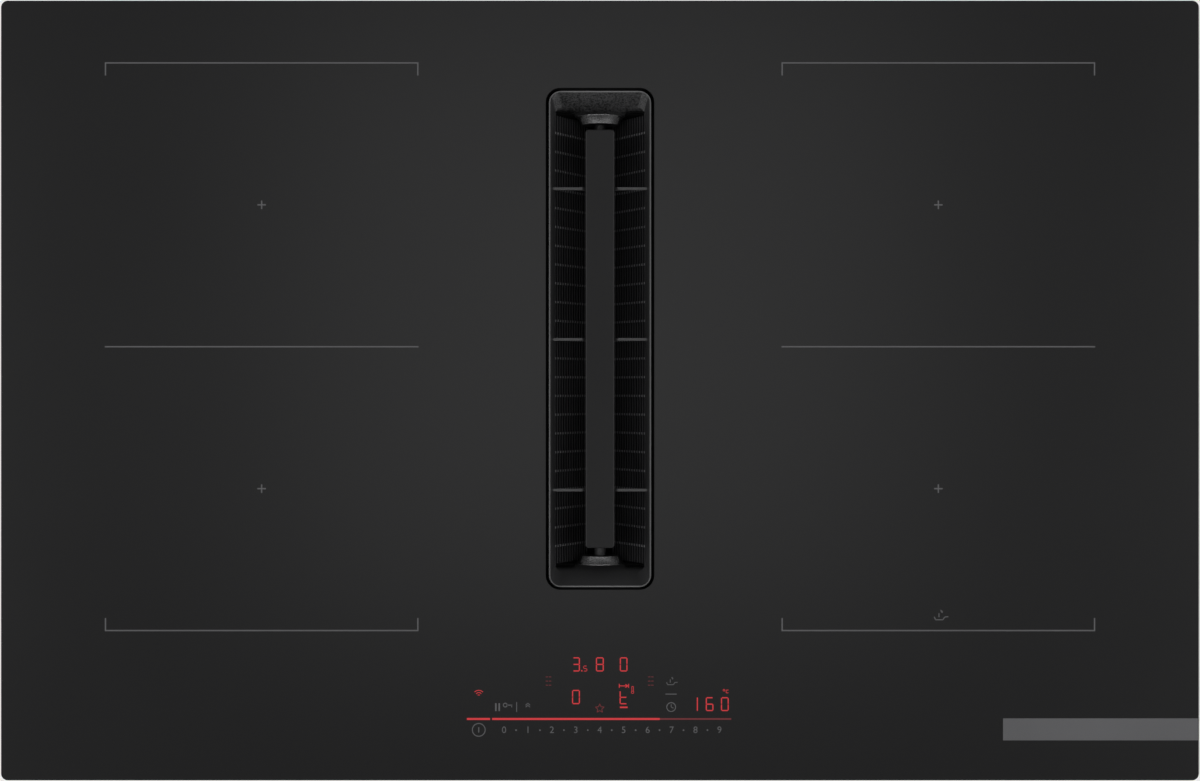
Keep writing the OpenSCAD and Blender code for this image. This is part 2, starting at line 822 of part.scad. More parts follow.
module housing_screws() {
    color([0.74, 0.74, 0.75]) at_lugs(blower_top - lug_t) {
        translate([0, 0, -screw_head_t]) cylinder(h = screw_head_t, r = screw_head_r);
        translate([0, 0, -screw_head_t / 2]) cylinder(h = screw_l + screw_head_t / 2, r = screw_r);
    }
}

module outlet_spigot() {
    x = blower_x + scroll_r1 - duct_w / 2;
    color([0.14, 0.14, 0.15])
        translate([x, outlet_y, bottom_z + duct_h / 2]) rotate([-90, 0, 0]) linear_extrude(spigot_l)
            difference() {
                square([duct_w, duct_h], center = true);
                square([duct_w - 2 * duct_wall, duct_h - 2 * duct_wall], center = true);
            }
}

module blade_ring(count, outer_r, chord, thick, h, lean) {
    for (i = [0:count - 1]) rotate(i * 360 / count) translate([outer_r, 0, 0]) rotate(lean)
        translate([-chord, -thick / 2, 0]) cube([chord, thick, h]);
}

module impeller() {
    color([0.2, 0.2, 0.21]) at_blower(impeller_bottom) {
        difference() {
            union() {
                cylinder(h = impeller_plate_t, r = impeller_r);
                cylinder(h = hub_h, r = hub_r);
            }
            translate([0, 0, -overrun]) cylinder(h = hub_h - hub_t + overrun, r = hub_r - hub_t);
        }
        translate([0, 0, impeller_plate_t / 2])
            blade_ring(blade_count, impeller_r - blade_t, blade_chord, blade_t,
                impeller_h - impeller_plate_t, blade_angle);
        translate([0, 0, impeller_h - impeller_plate_t]) difference() {
            cylinder(h = impeller_plate_t, r = impeller_r);
            translate([0, 0, -overrun])
                cylinder(h = impeller_plate_t + 2 * overrun, r = impeller_r - blade_chord);
        }
    }
}

shaft_bottom = bottom_z + duct_wall + shaft_end_gap;
shaft_top = impeller_bottom + hub_h - hub_t;
stator_top = shaft_top - stator_gap;

module motor_shaft() {
    color([0.75, 0.75, 0.76]) at_blower(shaft_bottom) cylinder(h = shaft_top - shaft_bottom, r = shaft_r);
}

module motor_stator() {
    foot = bottom_z + duct_wall;
    color([0.45, 0.28, 0.16]) at_blower(foot) difference() {
        union() {
            cylinder(h = motor_foot_t, r = motor_foot_r);
            cylinder(h = stator_top - foot, r = stator_r);
        }
        translate([0, 0, -overrun]) cylinder(h = stator_top - foot + 2 * overrun, r = bearing_r + run_gap);
    }
}

module motor_bearings() {
    foot = bottom_z + duct_wall;
    color([0.72, 0.72, 0.74]) for (z = [foot, stator_top - bearing_w]) at_blower(z) difference() {
        cylinder(h = bearing_w, r = bearing_r);
        translate([0, 0, -overrun]) cylinder(h = bearing_w + 2 * overrun, r = shaft_r + run_gap);
    }
}

module overflow_tank() {
    color([0.16, 0.16, 0.17]) translate([0, vent_y, 0]) {
        difference() {
            union() {
                slab(tank_w, tank_l, tank_r, tank_top - tank_h, tank_top);
                slab(tank_w + 2 * tank_rim, tank_l, tank_rim_t, tank_top - tank_rim_t, tank_top);
            }
            slab(tank_w - 2 * tank_wall, tank_l - 2 * tank_wall, tank_r - tank_wall,
                tank_top - tank_h + tank_wall, tank_top + overrun);
        }
        block(-grip_w / 2, grip_w / 2, -tank_l / 2 - grip_d, -tank_l / 2 + tank_wall / 2,
            tank_top - tank_h / 2, tank_top - tank_h / 2 + tank_wall);
        block(-grip_w / 2, grip_w / 2, -tank_l / 2 - grip_d, -tank_l / 2 - grip_d + tank_wall,
            tank_top - tank_h / 2 - grip_d, tank_top - tank_h / 2 + tank_wall);
    }
}

module tank_rails() {
    inner = tank_w / 2 + seat_gap;
    web = tank_w / 2 + tank_rim + seat_gap;
    lip = tank_top - tank_rim_t - seat_gap;
    color([0.3, 0.3, 0.31]) at_vent() for (s = [0, 1]) mirror([s, 0, 0]) along_y(tank_l) polygon([
        [web, blower_top], [web + rail_t, blower_top], [web + rail_t, lip - rail_t],
        [inner, lip - rail_t], [inner, lip], [web, lip]
    ]);
}

module insulation_sheets() {
    color([0.85, 0.83, 0.78]) both_sides() translate([0, zone_y, 0])
        slab(zone_w, zone_l, tray_r, insulation_z, glass_under);
}

module at_coil(sx, sy) {
    translate([sx * zone_x, zone_y + sy * coil_dy, 0]) children();
}

module coil(sx, sy) {
    turn = (coil_r - coil_in_r) / coil_turns;
    color([0.72, 0.38, 0.18]) at_coil(sx, sy) difference() {
        translate([0, 0, coil_z]) cylinder(h = coil_t, r = coil_r);
        translate([0, 0, coil_z - overrun]) cylinder(h = coil_t + 2 * overrun, r = coil_in_r);
        for (i = [1:coil_turns - 1]) translate([0, 0, coil_z - turn_groove]) difference() {
            cylinder(h = 2 * turn_groove, r = coil_in_r + i * turn + turn_groove / 2);
            translate([0, 0, -overrun])
                cylinder(h = 2 * (turn_groove + overrun), r = coil_in_r + i * turn - turn_groove / 2);
        }
    }
}

module coil_carrier(sx, sy) {
    color([0.82, 0.82, 0.80]) at_coil(sx, sy) difference() {
        translate([0, 0, carrier_z]) cylinder(h = carrier_t, r = carrier_r);
        translate([0, 0, carrier_z - overrun]) cylinder(h = carrier_t + 2 * overrun, r = sensor_r + fit_gap);
        for (i = [0:ferrite_count - 1]) rotate((i + 1 / 2) * 360 / ferrite_count)
            translate([(coil_r + coil_in_r) / 2, 0, carrier_z - overrun])
                cylinder(h = carrier_t + 2 * overrun, r = carrier_hole_r);
    }
}

module ferrite_bars() {
    color([0.17, 0.17, 0.18]) for (sx = [-1, 1], sy = [-1, 1]) at_coil(sx, sy)
        for (i = [0:ferrite_count - 1]) rotate(i * 360 / ferrite_count)
            translate([ferrite_in_r, -ferrite_w / 2, ferrite_z]) cube([ferrite_l, ferrite_w, ferrite_t]);
}

module temperature_sensors() {
    color([0.8, 0.8, 0.78]) for (sx = [-1, 1], sy = [-1, 1]) at_coil(sx, sy)
        translate([0, 0, ferrite_z]) cylinder(h = insulation_z - ferrite_z, r = sensor_r);
}

module coil_plate(s) {
    color([0.78, 0.79, 0.80]) translate([s * zone_x, zone_y, 0]) {
        block(-zone_w / 2, zone_w / 2, -zone_l / 2, zone_l / 2, plate_z, ferrite_z);
        for (m = [0, 1]) mirror([m, 0, 0])
            block(zone_w / 2 - plate_t, zone_w / 2, -zone_l / 2, zone_l / 2, tray_floor, plate_z + plate_t / 2);
    }
}

module power_board(s) {
    color([0.10, 0.35, 0.18]) translate([s * zone_x, board_y, 0])
        block(-board_w / 2, board_w / 2, -board_l / 2, board_l / 2, board_z, board_top);
}

module board_standoffs() {
    color([0.9, 0.9, 0.88]) {
        for (s = [-1, 1], tx = [-1, 1], ty = [-1, 1])
            translate([s * zone_x + tx * (board_w / 2 - board_edge), board_y + ty * (board_l / 2 - board_edge),
                tray_floor]) cylinder(h = standoff_h, r = standoff_r);
        for (tx = [-1, 1], ty = [-1, 1])
            translate([-zone_x + tx * (filter_board_w / 2 - board_edge),
                filter_board_y + ty * (filter_board_l / 2 - board_edge), tray_floor])
                cylinder(h = standoff_h, r = standoff_r);
    }
}

module heat_sink(s) {
    fin_pitch = (sink_w - sink_fin_t) / (sink_fins - 1);
    color([0.76, 0.77, 0.78]) translate([s * zone_x, board_y - board_l / 4, board_top]) {
        block(-sink_w / 2, sink_w / 2, -sink_d / 2, sink_d / 2, 0, sink_base);
        for (i = [0:sink_fins - 1]) translate([-sink_w / 2 + i * fin_pitch, 0, 0])
            block(0, sink_fin_t, -sink_d / 2, sink_d / 2, sink_base / 2, sink_h);
    }
}

module capacitors() {
    color([0.2, 0.25, 0.45]) for (s = [-1, 1], i = [-1:1])
        translate([s * zone_x + i * capacitor_pitch, board_y + board_l / 4, board_top])
            cylinder(h = capacitor_h, r = capacitor_r);
}

module mains_filter_board() {
    color([0.10, 0.32, 0.20]) translate([-zone_x, filter_board_y, 0]) {
        block(-filter_board_w / 2, filter_board_w / 2, -filter_board_l / 2, filter_board_l / 2,
            board_z, board_top);
        for (s = [-1, 1]) translate([s * filter_board_w / 4, 0, board_z + board_t / 2]) difference() {
            cylinder(h = choke_h, r = choke_r);
            translate([0, 0, board_t]) cylinder(h = choke_h, r = choke_r / 2);
        }
    }
}

module fan_housing(s) {
    color([0.11, 0.11, 0.12]) translate([s * zone_x, fan_y, tray_floor]) {
        difference() {
            slab(fan_w, fan_w, tray_r, 0, fan_h);
            translate([0, 0, fan_wall]) cylinder(h = fan_h - 2 * fan_wall, r = fan_rotor_r + fan_side_gap);
            translate([0, 0, fan_h / 2]) cylinder(h = fan_h, r = fan_inlet_r);
            block(0, fan_rotor_r + fan_side_gap, 0, fan_w, fan_wall, fan_h - fan_wall);
        }
        cylinder(h = fan_h - 3 * fan_wall, r = fan_post_r);
    }
}

module fan_rotor(s) {
    low = 2 * fan_wall;
    high = fan_h - 2 * fan_wall;
    color([0.18, 0.18, 0.19]) translate([s * zone_x, fan_y, tray_floor]) {
        difference() {
            union() {
                translate([0, 0, low]) cylinder(h = fan_wall, r = fan_rotor_r);
                translate([0, 0, low]) cylinder(h = high - low, r = fan_hub_r);
            }
            cylinder(h = high - fan_wall / 2, r = fan_post_r + run_gap);
        }
        translate([0, 0, low + fan_wall / 2])
            blade_ring(fan_blades, fan_rotor_r - fan_blade_t, fan_hub_r, fan_blade_t,
                high - low - fan_wall / 2, blade_angle);
    }
}

module display_carrier() {
    color([0.88, 0.88, 0.86]) translate([0, touch_y, 0])
        frame_ring(touch_w, touch_d, tray_r, touch_w - 2 * carrier_frame, touch_d - 2 * carrier_frame,
            tray_r / 2, glass_under - display_t, glass_under);
}

module touch_board() {
    color([0.10, 0.32, 0.20]) translate([0, touch_y, 0])
        slab(touch_w, touch_d, tray_r, glass_under - display_t - board_t, glass_under - display_t);
}

module at_box() {
    translate([box_x, box_y, 0]) children();
}

module knuckle(x0, x1, bore) {
    translate([x0, hinge_y - box_y, hinge_z]) rotate([0, 90, 0]) difference() {
        cylinder(h = x1 - x0, r = knuckle_r);
        translate([0, 0, -overrun]) cylinder(h = x1 - x0 + 2 * overrun, r = bore);
    }
}

// What joins a knuckle to its part, clear of the pin
module knuckle_arm(x0, x1, y1, z0, z1) {
    difference() {
        block(x0, x1, hinge_y - box_y, y1, z0, z1);
        translate([x0 - overrun, hinge_y - box_y, hinge_z]) rotate([0, 90, 0])
            cylinder(h = x1 - x0 + 2 * overrun, r = (knuckle_r + hinge_r) / 2);
    }
}

module terminal_box() {
    front = -box_d / 2;
    color([0.75, 0.75, 0.73]) at_box() {
        difference() {
            block(-box_w / 2, box_w / 2, front, box_d / 2, box_bottom, tray_bottom);
            block(-box_w / 2 + box_t, box_w / 2 - box_t, front + box_t, box_d / 2 - box_t,
                box_bottom - overrun, tray_bottom - box_t);
            translate([0, box_d / 2, gland_z]) rotate([90, 0, 0])
                cylinder(h = 3 * box_t, r = gland_body_r + fit_gap, center = true);
        }
        for (m = [0, 1]) mirror([m, 0, 0]) {
            knuckle(box_w / 2 - knuckle_l, box_w / 2, hinge_r + run_gap);
            knuckle_arm(box_w / 2 - knuckle_l, box_w / 2, front + box_t / 2, box_bottom, hinge_z + knuckle_r);
        }
    }
}

module terminal_cover() {
    reach = box_w / 2 - knuckle_l - fit_gap;
    color([0.78, 0.78, 0.76]) at_box() {
        block(-box_w / 2, box_w / 2, -box_d / 2, box_d / 2, box_bottom - fit_gap - box_t,
            box_bottom - fit_gap);
        knuckle(-reach, reach, hinge_r + run_gap);
        knuckle_arm(-reach, reach, -box_d / 2 + box_t, box_bottom - fit_gap - box_t, box_bottom - fit_gap);
    }
}

module terminal_hinge_pin() {
    color([0.7, 0.7, 0.72]) translate([box_x - box_w / 2, hinge_y, hinge_z]) rotate([0, 90, 0])
        cylinder(h = box_w, r = hinge_r);
}

module terminal_block() {
    way = block_w / block_ways;
    top = tray_bottom - box_t;
    color([0.9, 0.88, 0.8]) at_box() difference() {
        block(-block_w / 2, block_w / 2, -block_d / 2, block_d / 2, top - block_h, top);
        for (i = [0:block_ways - 1]) translate([(i - (block_ways - 1) / 2) * way, 0, top - block_h])
            cylinder(h = block_h, r = way / 4, center = true);
    }
}

module cable_gland() {
    color([0.12, 0.12, 0.12]) at_box() translate([0, box_d / 2, gland_z]) rotate([-90, 0, 0])
        difference() {
            union() {
                translate([0, 0, -gland_l / 2]) cylinder(h = gland_l, r = gland_body_r);
                cylinder(h = gland_flange_t, r = gland_flange_r);
            }
            translate([0, 0, -gland_l]) cylinder(h = 2 * gland_l, r = gland_r);
        }
}

module worktop_clamps() {
    tooth = [
        [-clamp_t, clamp_top], [0, clamp_top], [clamp_tooth, clamp_top - clamp_tooth],
        [0, clamp_top - 2 * clamp_tooth], [0, clamp_top - clamp_h], [-clamp_t, clamp_top - clamp_h]
    ];
    color([0.7, 0.7, 0.72]) difference() {
        for (p = clamp_places) rotate(p[0]) translate([p[1], p[2], 0]) along_y(clamp_w) polygon(tooth);
        screw_hole_set(clamp_places, clamp_screw_z);
    }
}

module casing_screws() {
    color([0.74, 0.74, 0.75]) {
        screw_set(clamp_places, clamp_screw_z);
        screw_set(tray_screw_places, tray_screw_z);
    }
}

glass_plate();
zone_marks();
label_band();
sealing_tape();
support_frame();
base_tray();
vent_collar();
intake_shaft();
grille_frame();
grille_bar();
filter_flange();
mirror([1, 0, 0]) filter_panel();  // filter_panel_left
filter_panel();  // filter_panel_right
filter_trough();
filter_end_caps();
plenum_housing();
plenum_cover();
inlet_ring();
blower_housing();
outlet_spigot();
impeller();
motor_shaft();
motor_stator();
motor_bearings();
overflow_tank();
tank_rails();
insulation_sheets();
coil(-1, 1);  // coil_rear_left
coil(-1, -1);  // coil_front_left
coil(1, 1);  // coil_rear_right
coil(1, -1);  // coil_front_right
coil_carrier(-1, 1);  // carrier_rear_left
coil_carrier(-1, -1);  // carrier_front_left
coil_carrier(1, 1);  // carrier_rear_right
coil_carrier(1, -1);  // carrier_front_right
ferrite_bars();
temperature_sensors();
coil_plate(-1);  // coil_plate_left
coil_plate(1);  // coil_plate_right
power_board(-1);  // power_board_left
power_board(1);  // power_board_right
heat_sink(-1);  // heat_sink_left
heat_sink(1);  // heat_sink_right
capacitors();
board_standoffs();
mains_filter_board();
fan_housing(-1);  // fan_housing_left
fan_housing(1);  // fan_housing_right
fan_rotor(-1);  // fan_rotor_left
fan_rotor(1);  // fan_rotor_right
touch_board();
display_carrier();
terminal_box();
terminal_block();
terminal_cover();
terminal_hinge_pin();
cable_gland();
worktop_clamps();
casing_screws();
housing_screws();
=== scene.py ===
import bpy
import json
from math import cos, sin, radians, pi
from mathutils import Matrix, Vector


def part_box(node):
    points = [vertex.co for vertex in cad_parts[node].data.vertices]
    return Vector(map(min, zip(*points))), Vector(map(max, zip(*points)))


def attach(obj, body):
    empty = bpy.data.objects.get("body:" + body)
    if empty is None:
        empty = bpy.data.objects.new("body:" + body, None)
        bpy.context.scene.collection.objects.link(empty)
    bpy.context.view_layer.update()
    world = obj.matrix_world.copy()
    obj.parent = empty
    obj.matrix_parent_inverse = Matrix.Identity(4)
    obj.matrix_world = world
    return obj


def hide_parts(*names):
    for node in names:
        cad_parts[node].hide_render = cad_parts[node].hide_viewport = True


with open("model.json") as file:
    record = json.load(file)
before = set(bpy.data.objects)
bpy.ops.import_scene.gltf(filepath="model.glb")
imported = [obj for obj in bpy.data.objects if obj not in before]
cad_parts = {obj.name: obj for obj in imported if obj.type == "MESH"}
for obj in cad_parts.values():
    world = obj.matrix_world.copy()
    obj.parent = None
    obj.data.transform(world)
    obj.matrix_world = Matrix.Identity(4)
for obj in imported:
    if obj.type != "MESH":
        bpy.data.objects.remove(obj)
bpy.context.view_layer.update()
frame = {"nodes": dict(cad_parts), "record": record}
mm = 0.001
ventY = 34.6  # middle of the intake, in millimetres behind the middle of the glass
glassTop = 5.0  # top of the glass above the worktop
mergeGap = 0.005
print("frame loaded:", len(frame["nodes"]), "nodes")


def deselectAll():
    if bpy.context.object and bpy.context.object.mode != "OBJECT":
        bpy.ops.object.mode_set(mode="OBJECT")
    bpy.ops.object.select_all(action="DESELECT")


def activate(*pieces):
    deselectAll()
    for p in pieces:
        p.select_set(True)
    bpy.context.view_layer.objects.active = pieces[0]
    return pieces[0]


def settle():
    bpy.ops.object.transform_apply(location=True, rotation=True, scale=True)


def addBox(name, low, high):
    # low and high corners in millimetres
    deselectAll()
    size = [(b - a) * mm for a, b in zip(low, high)]
    mid = [(a + b) / 2 * mm for a, b in zip(low, high)]
    bpy.ops.mesh.primitive_cube_add(size=1, location=mid)
    piece = bpy.context.object
    piece.name = name
    piece.scale = size
    settle()
    return piece


def addRod(name, radius, start, length, sides):
    # a round rod from start along +Y, in millimetres
    deselectAll()
    x, y, z = start
    bpy.ops.mesh.primitive_cylinder_add(vertices=sides, radius=radius * mm, depth=length * mm,
                                        location=(x * mm, (y + length / 2) * mm, z * mm),
                                        rotation=(-pi / 2, 0, 0))
    piece = bpy.context.object
    piece.name = name
    settle()
    return piece


def pick(piece, kind, test):
    # selects the faces, edges or verts that pass the test, and stays in edit mode
    activate(piece)
    bpy.ops.object.mode_set(mode="EDIT")
    bpy.ops.mesh.select_mode(type={"verts": "VERT", "edges": "EDGE", "faces": "FACE"}[kind])
    bpy.ops.mesh.select_all(action="DESELECT")
    bpy.ops.object.mode_set(mode="OBJECT")
    mesh = piece.data
    if kind == "faces":
        for f in mesh.polygons:
            f.select = test(f.center / mm, f.normal)
    elif kind == "edges":
        for e in mesh.edges:
            a, b = (mesh.vertices[i].co / mm for i in e.vertices)
            e.select = test((a + b) / 2, (b - a).normalized())
    else:
        for v in mesh.vertices:
            v.select = test(v.co / mm, v.normal)
    bpy.ops.object.mode_set(mode="EDIT")


def leaveEdit():
    bpy.ops.object.mode_set(mode="OBJECT")


def upright(p, d):
    return abs(d.z) > 0.9  # an edge that stands on end


def facingUp(p, n):
    return n.z > 0.9


def facingDown(p, n):
    return n.z < -0.9


def bevelEdges(piece, test, width, segments):
    pick(piece, "edges", test)
    bpy.ops.mesh.bevel(offset=width * mm, segments=segments, affect="EDGES", clamp_overlap=True)
    leaveEdit()


def pushFace(piece, test, move, grow=(1, 1, 1)):
    # extrudes the faces that pass, moves them and scales them about their own middle
    pick(piece, "faces", test)
    bpy.ops.mesh.extrude_region_move(TRANSFORM_OT_translate={"value": [m * mm for m in move]})
    if tuple(grow) != (1, 1, 1):
        leaveEdit()
        spots = [f.center for f in piece.data.polygons if f.select]
        mid = sum(spots, Vector()) / len(spots)
        bpy.ops.object.mode_set(mode="EDIT")
        bpy.ops.transform.resize(value=grow, center_override=mid)
    leaveEdit()


def moveVerts(piece, test, move):
    pick(piece, "verts", test)
    bpy.ops.transform.translate(value=[m * mm for m in move])
    leaveEdit()


def combine(piece, tool, how):
    # joins the tool to the piece, or cuts the piece with it
    activate(piece)
    cut = piece.modifiers.new("cut", "BOOLEAN")
    cut.operation = how
    cut.object = tool
    cut.solver = "EXACT"
    bpy.ops.object.modifier_apply(modifier=cut.name)
    bpy.data.objects.remove(tool, do_unlink=True)
    mergeDoubles(piece)


def softenEdges(piece, width, segments, angle):
    # rounds every edge sharper than the angle
    activate(piece)
    soft = piece.modifiers.new("soft", "BEVEL")
    soft.width = width * mm
    soft.segments = segments
    soft.limit_method = "ANGLE"
    soft.angle_limit = radians(angle)
    soft.harden_normals = False
    bpy.ops.object.modifier_apply(modifier=soft.name)


def mergeDoubles(piece):
    activate(piece)
    bpy.ops.object.mode_set(mode="EDIT")
    bpy.ops.mesh.select_all(action="SELECT")
    bpy.ops.mesh.remove_doubles(threshold=mergeGap * mm)
    leaveEdit()


def repeat(piece, count, step):
    # a row of copies, step apart in millimetres
    activate(piece)
    row = piece.modifiers.new("row", "ARRAY")
    row.count = count
    row.use_relative_offset = False
    row.use_constant_offset = True
    row.constant_offset_displace = [s * mm for s in step]
    bpy.ops.object.modifier_apply(modifier=row.name)


def joinAll(name, *pieces):
    piece = activate(*pieces)
    if len(pieces) > 1:
        bpy.ops.object.join()
    piece.name = name
    piece.data.name = name
    return piece


def copyTurned(piece, name, angle):
    # a copy with its own mesh, turned about the upright line through the middle of the intake
    activate(piece)
    bpy.ops.object.duplicate(linked=False)
    twin = bpy.context.object
    twin.name = name
    twin.data.name = name
    y = ventY * mm
    twin.rotation_euler = (0, 0, angle)
    twin.location = (y * sin(angle), y - y * cos(angle), 0)
    settle()
    return twin


def smoothSides(piece, angle=35):
    # soft edges shade round while the large faces stay flat
    activate(piece)
    bpy.ops.object.shade_smooth_by_angle(angle=radians(angle))
    even = piece.modifiers.new("even", "WEIGHTED_NORMAL")
    even.keep_sharp = True
    bpy.ops.object.modifier_apply(modifier=even.name)


def paint(piece, material):
    piece.data.materials.clear()
    piece.data.materials.append(material)
    return piece


def finishPiece(piece, body, slot, material, *nodes):
    # rides the piece on its body, and lets it stand in for the CAD nodes that it shows
    if not piece.data.materials or piece.data.materials[0] is None:
        paint(piece, material)
    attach(piece, body)
    if nodes:
        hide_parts(*nodes)


def srgb(text):
    # a tone written as on the screen, as the linear colour that the shader works with
    channels = [int(text[i:i + 2], 16) / 255 for i in (1, 3, 5)]
    return [c / 12.92 if c <= 0.04045 else ((c + 0.055) / 1.055) ** 2.4 for c in channels] + [1.0]


def addNode(tree, kind, settings=None, inputs=None):
    node = tree.nodes.new(kind)
    for key, value in (settings or {}).items():
        setattr(node, key, value)
    for key, value in (inputs or {}).items():
        if isinstance(value, bpy.types.NodeSocket):
            tree.links.new(value, node.inputs[key])
        else:
            node.inputs[key].default_value = value
    return node


def newMaterial(name):
    material = bpy.data.materials.new(name)
    material.use_nodes = True
    tree = material.node_tree
    return material, tree, tree.nodes["Principled BSDF"]


# what a finish has unless it says otherwise; lengths in millimetres
plainLook = {"stretch": (1, 1, 1), "cloud": 60, "cloudShare": 0.4, "middle": 0.675, "spread": 0.275,
             "bump": 0.3, "height": 0.05, "metal": 0.0, "gloss": 0.5, "coatRough": 0.1}


def grainMaterial(look):
    # two tones on a grain of a real size, a wider cloud over it, and a bump from the same grain
    look = {**plainLook, **look}
    material, tree, shader = newMaterial(look["name"])
    place = addNode(tree, "ShaderNodeTexCoord").outputs["Object"]
    stretched = addNode(tree, "ShaderNodeMapping", inputs={
        "Vector": place, "Scale": look["stretch"]}).outputs["Vector"]
    grainScale = 1 / (look["grain"] * mm)
    if look.get("cells"):
        grain = addNode(tree, "ShaderNodeTexVoronoi", {"feature": "F1"}, {
            "Vector": stretched, "Scale": grainScale}).outputs["Color"]
        fine = addNode(tree, "ShaderNodeSeparateColor", inputs={"Color": grain}).outputs["Red"]
    else:
        fine = addNode(tree, "ShaderNodeTexNoise", inputs={
            "Vector": stretched, "Scale": grainScale, "Detail": 3.0, "Roughness": 0.6}).outputs["Fac"]
    cloud = addNode(tree, "ShaderNodeTexNoise", inputs={
        "Vector": place, "Scale": 1 / (look["cloud"] * mm), "Detail": 2.0}).outputs["Fac"]
    blend = addNode(tree, "ShaderNodeMath", {"operation": "MULTIPLY_ADD"}, {
        0: cloud, 1: look["cloudShare"], 2: fine}).outputs["Value"]
    share = addNode(tree, "ShaderNodeMapRange", inputs={
        "Value": blend, "From Min": look["middle"] - look["spread"],
        "From Max": look["middle"] + look["spread"]}).outputs["Result"]
    colour = addNode(tree, "ShaderNodeMix", {"data_type": "RGBA"}, {
        0: share, 6: srgb(look["dark"]), 7: srgb(look["light"])}).outputs[2]
    tree.links.new(colour, shader.inputs["Base Color"])
    smoothest, roughest = look["rough"]
    rough = addNode(tree, "ShaderNodeMapRange", inputs={
        "Value": fine, "From Min": 0.25, "From Max": 0.75,
        "To Min": smoothest, "To Max": roughest}).outputs["Result"]
    tree.links.new(rough, shader.inputs["Roughness"])
    bump = addNode(tree, "ShaderNodeBump", inputs={
        "Strength": look["bump"], "Distance": look["height"] * mm, "Height": fine})
    tree.links.new(bump.outputs["Normal"], shader.inputs["Normal"])
    shader.inputs["Metallic"].default_value = look["metal"]
    shader.inputs["Specular IOR Level"].default_value = look["gloss"]
    if "ior" in look:
        shader.inputs["IOR"].default_value = look["ior"]
    if "coat" in look:
        shader.inputs["Coat Weight"].default_value = look["coat"]
        shader.inputs["Coat Roughness"].default_value = look["coatRough"]
    return material


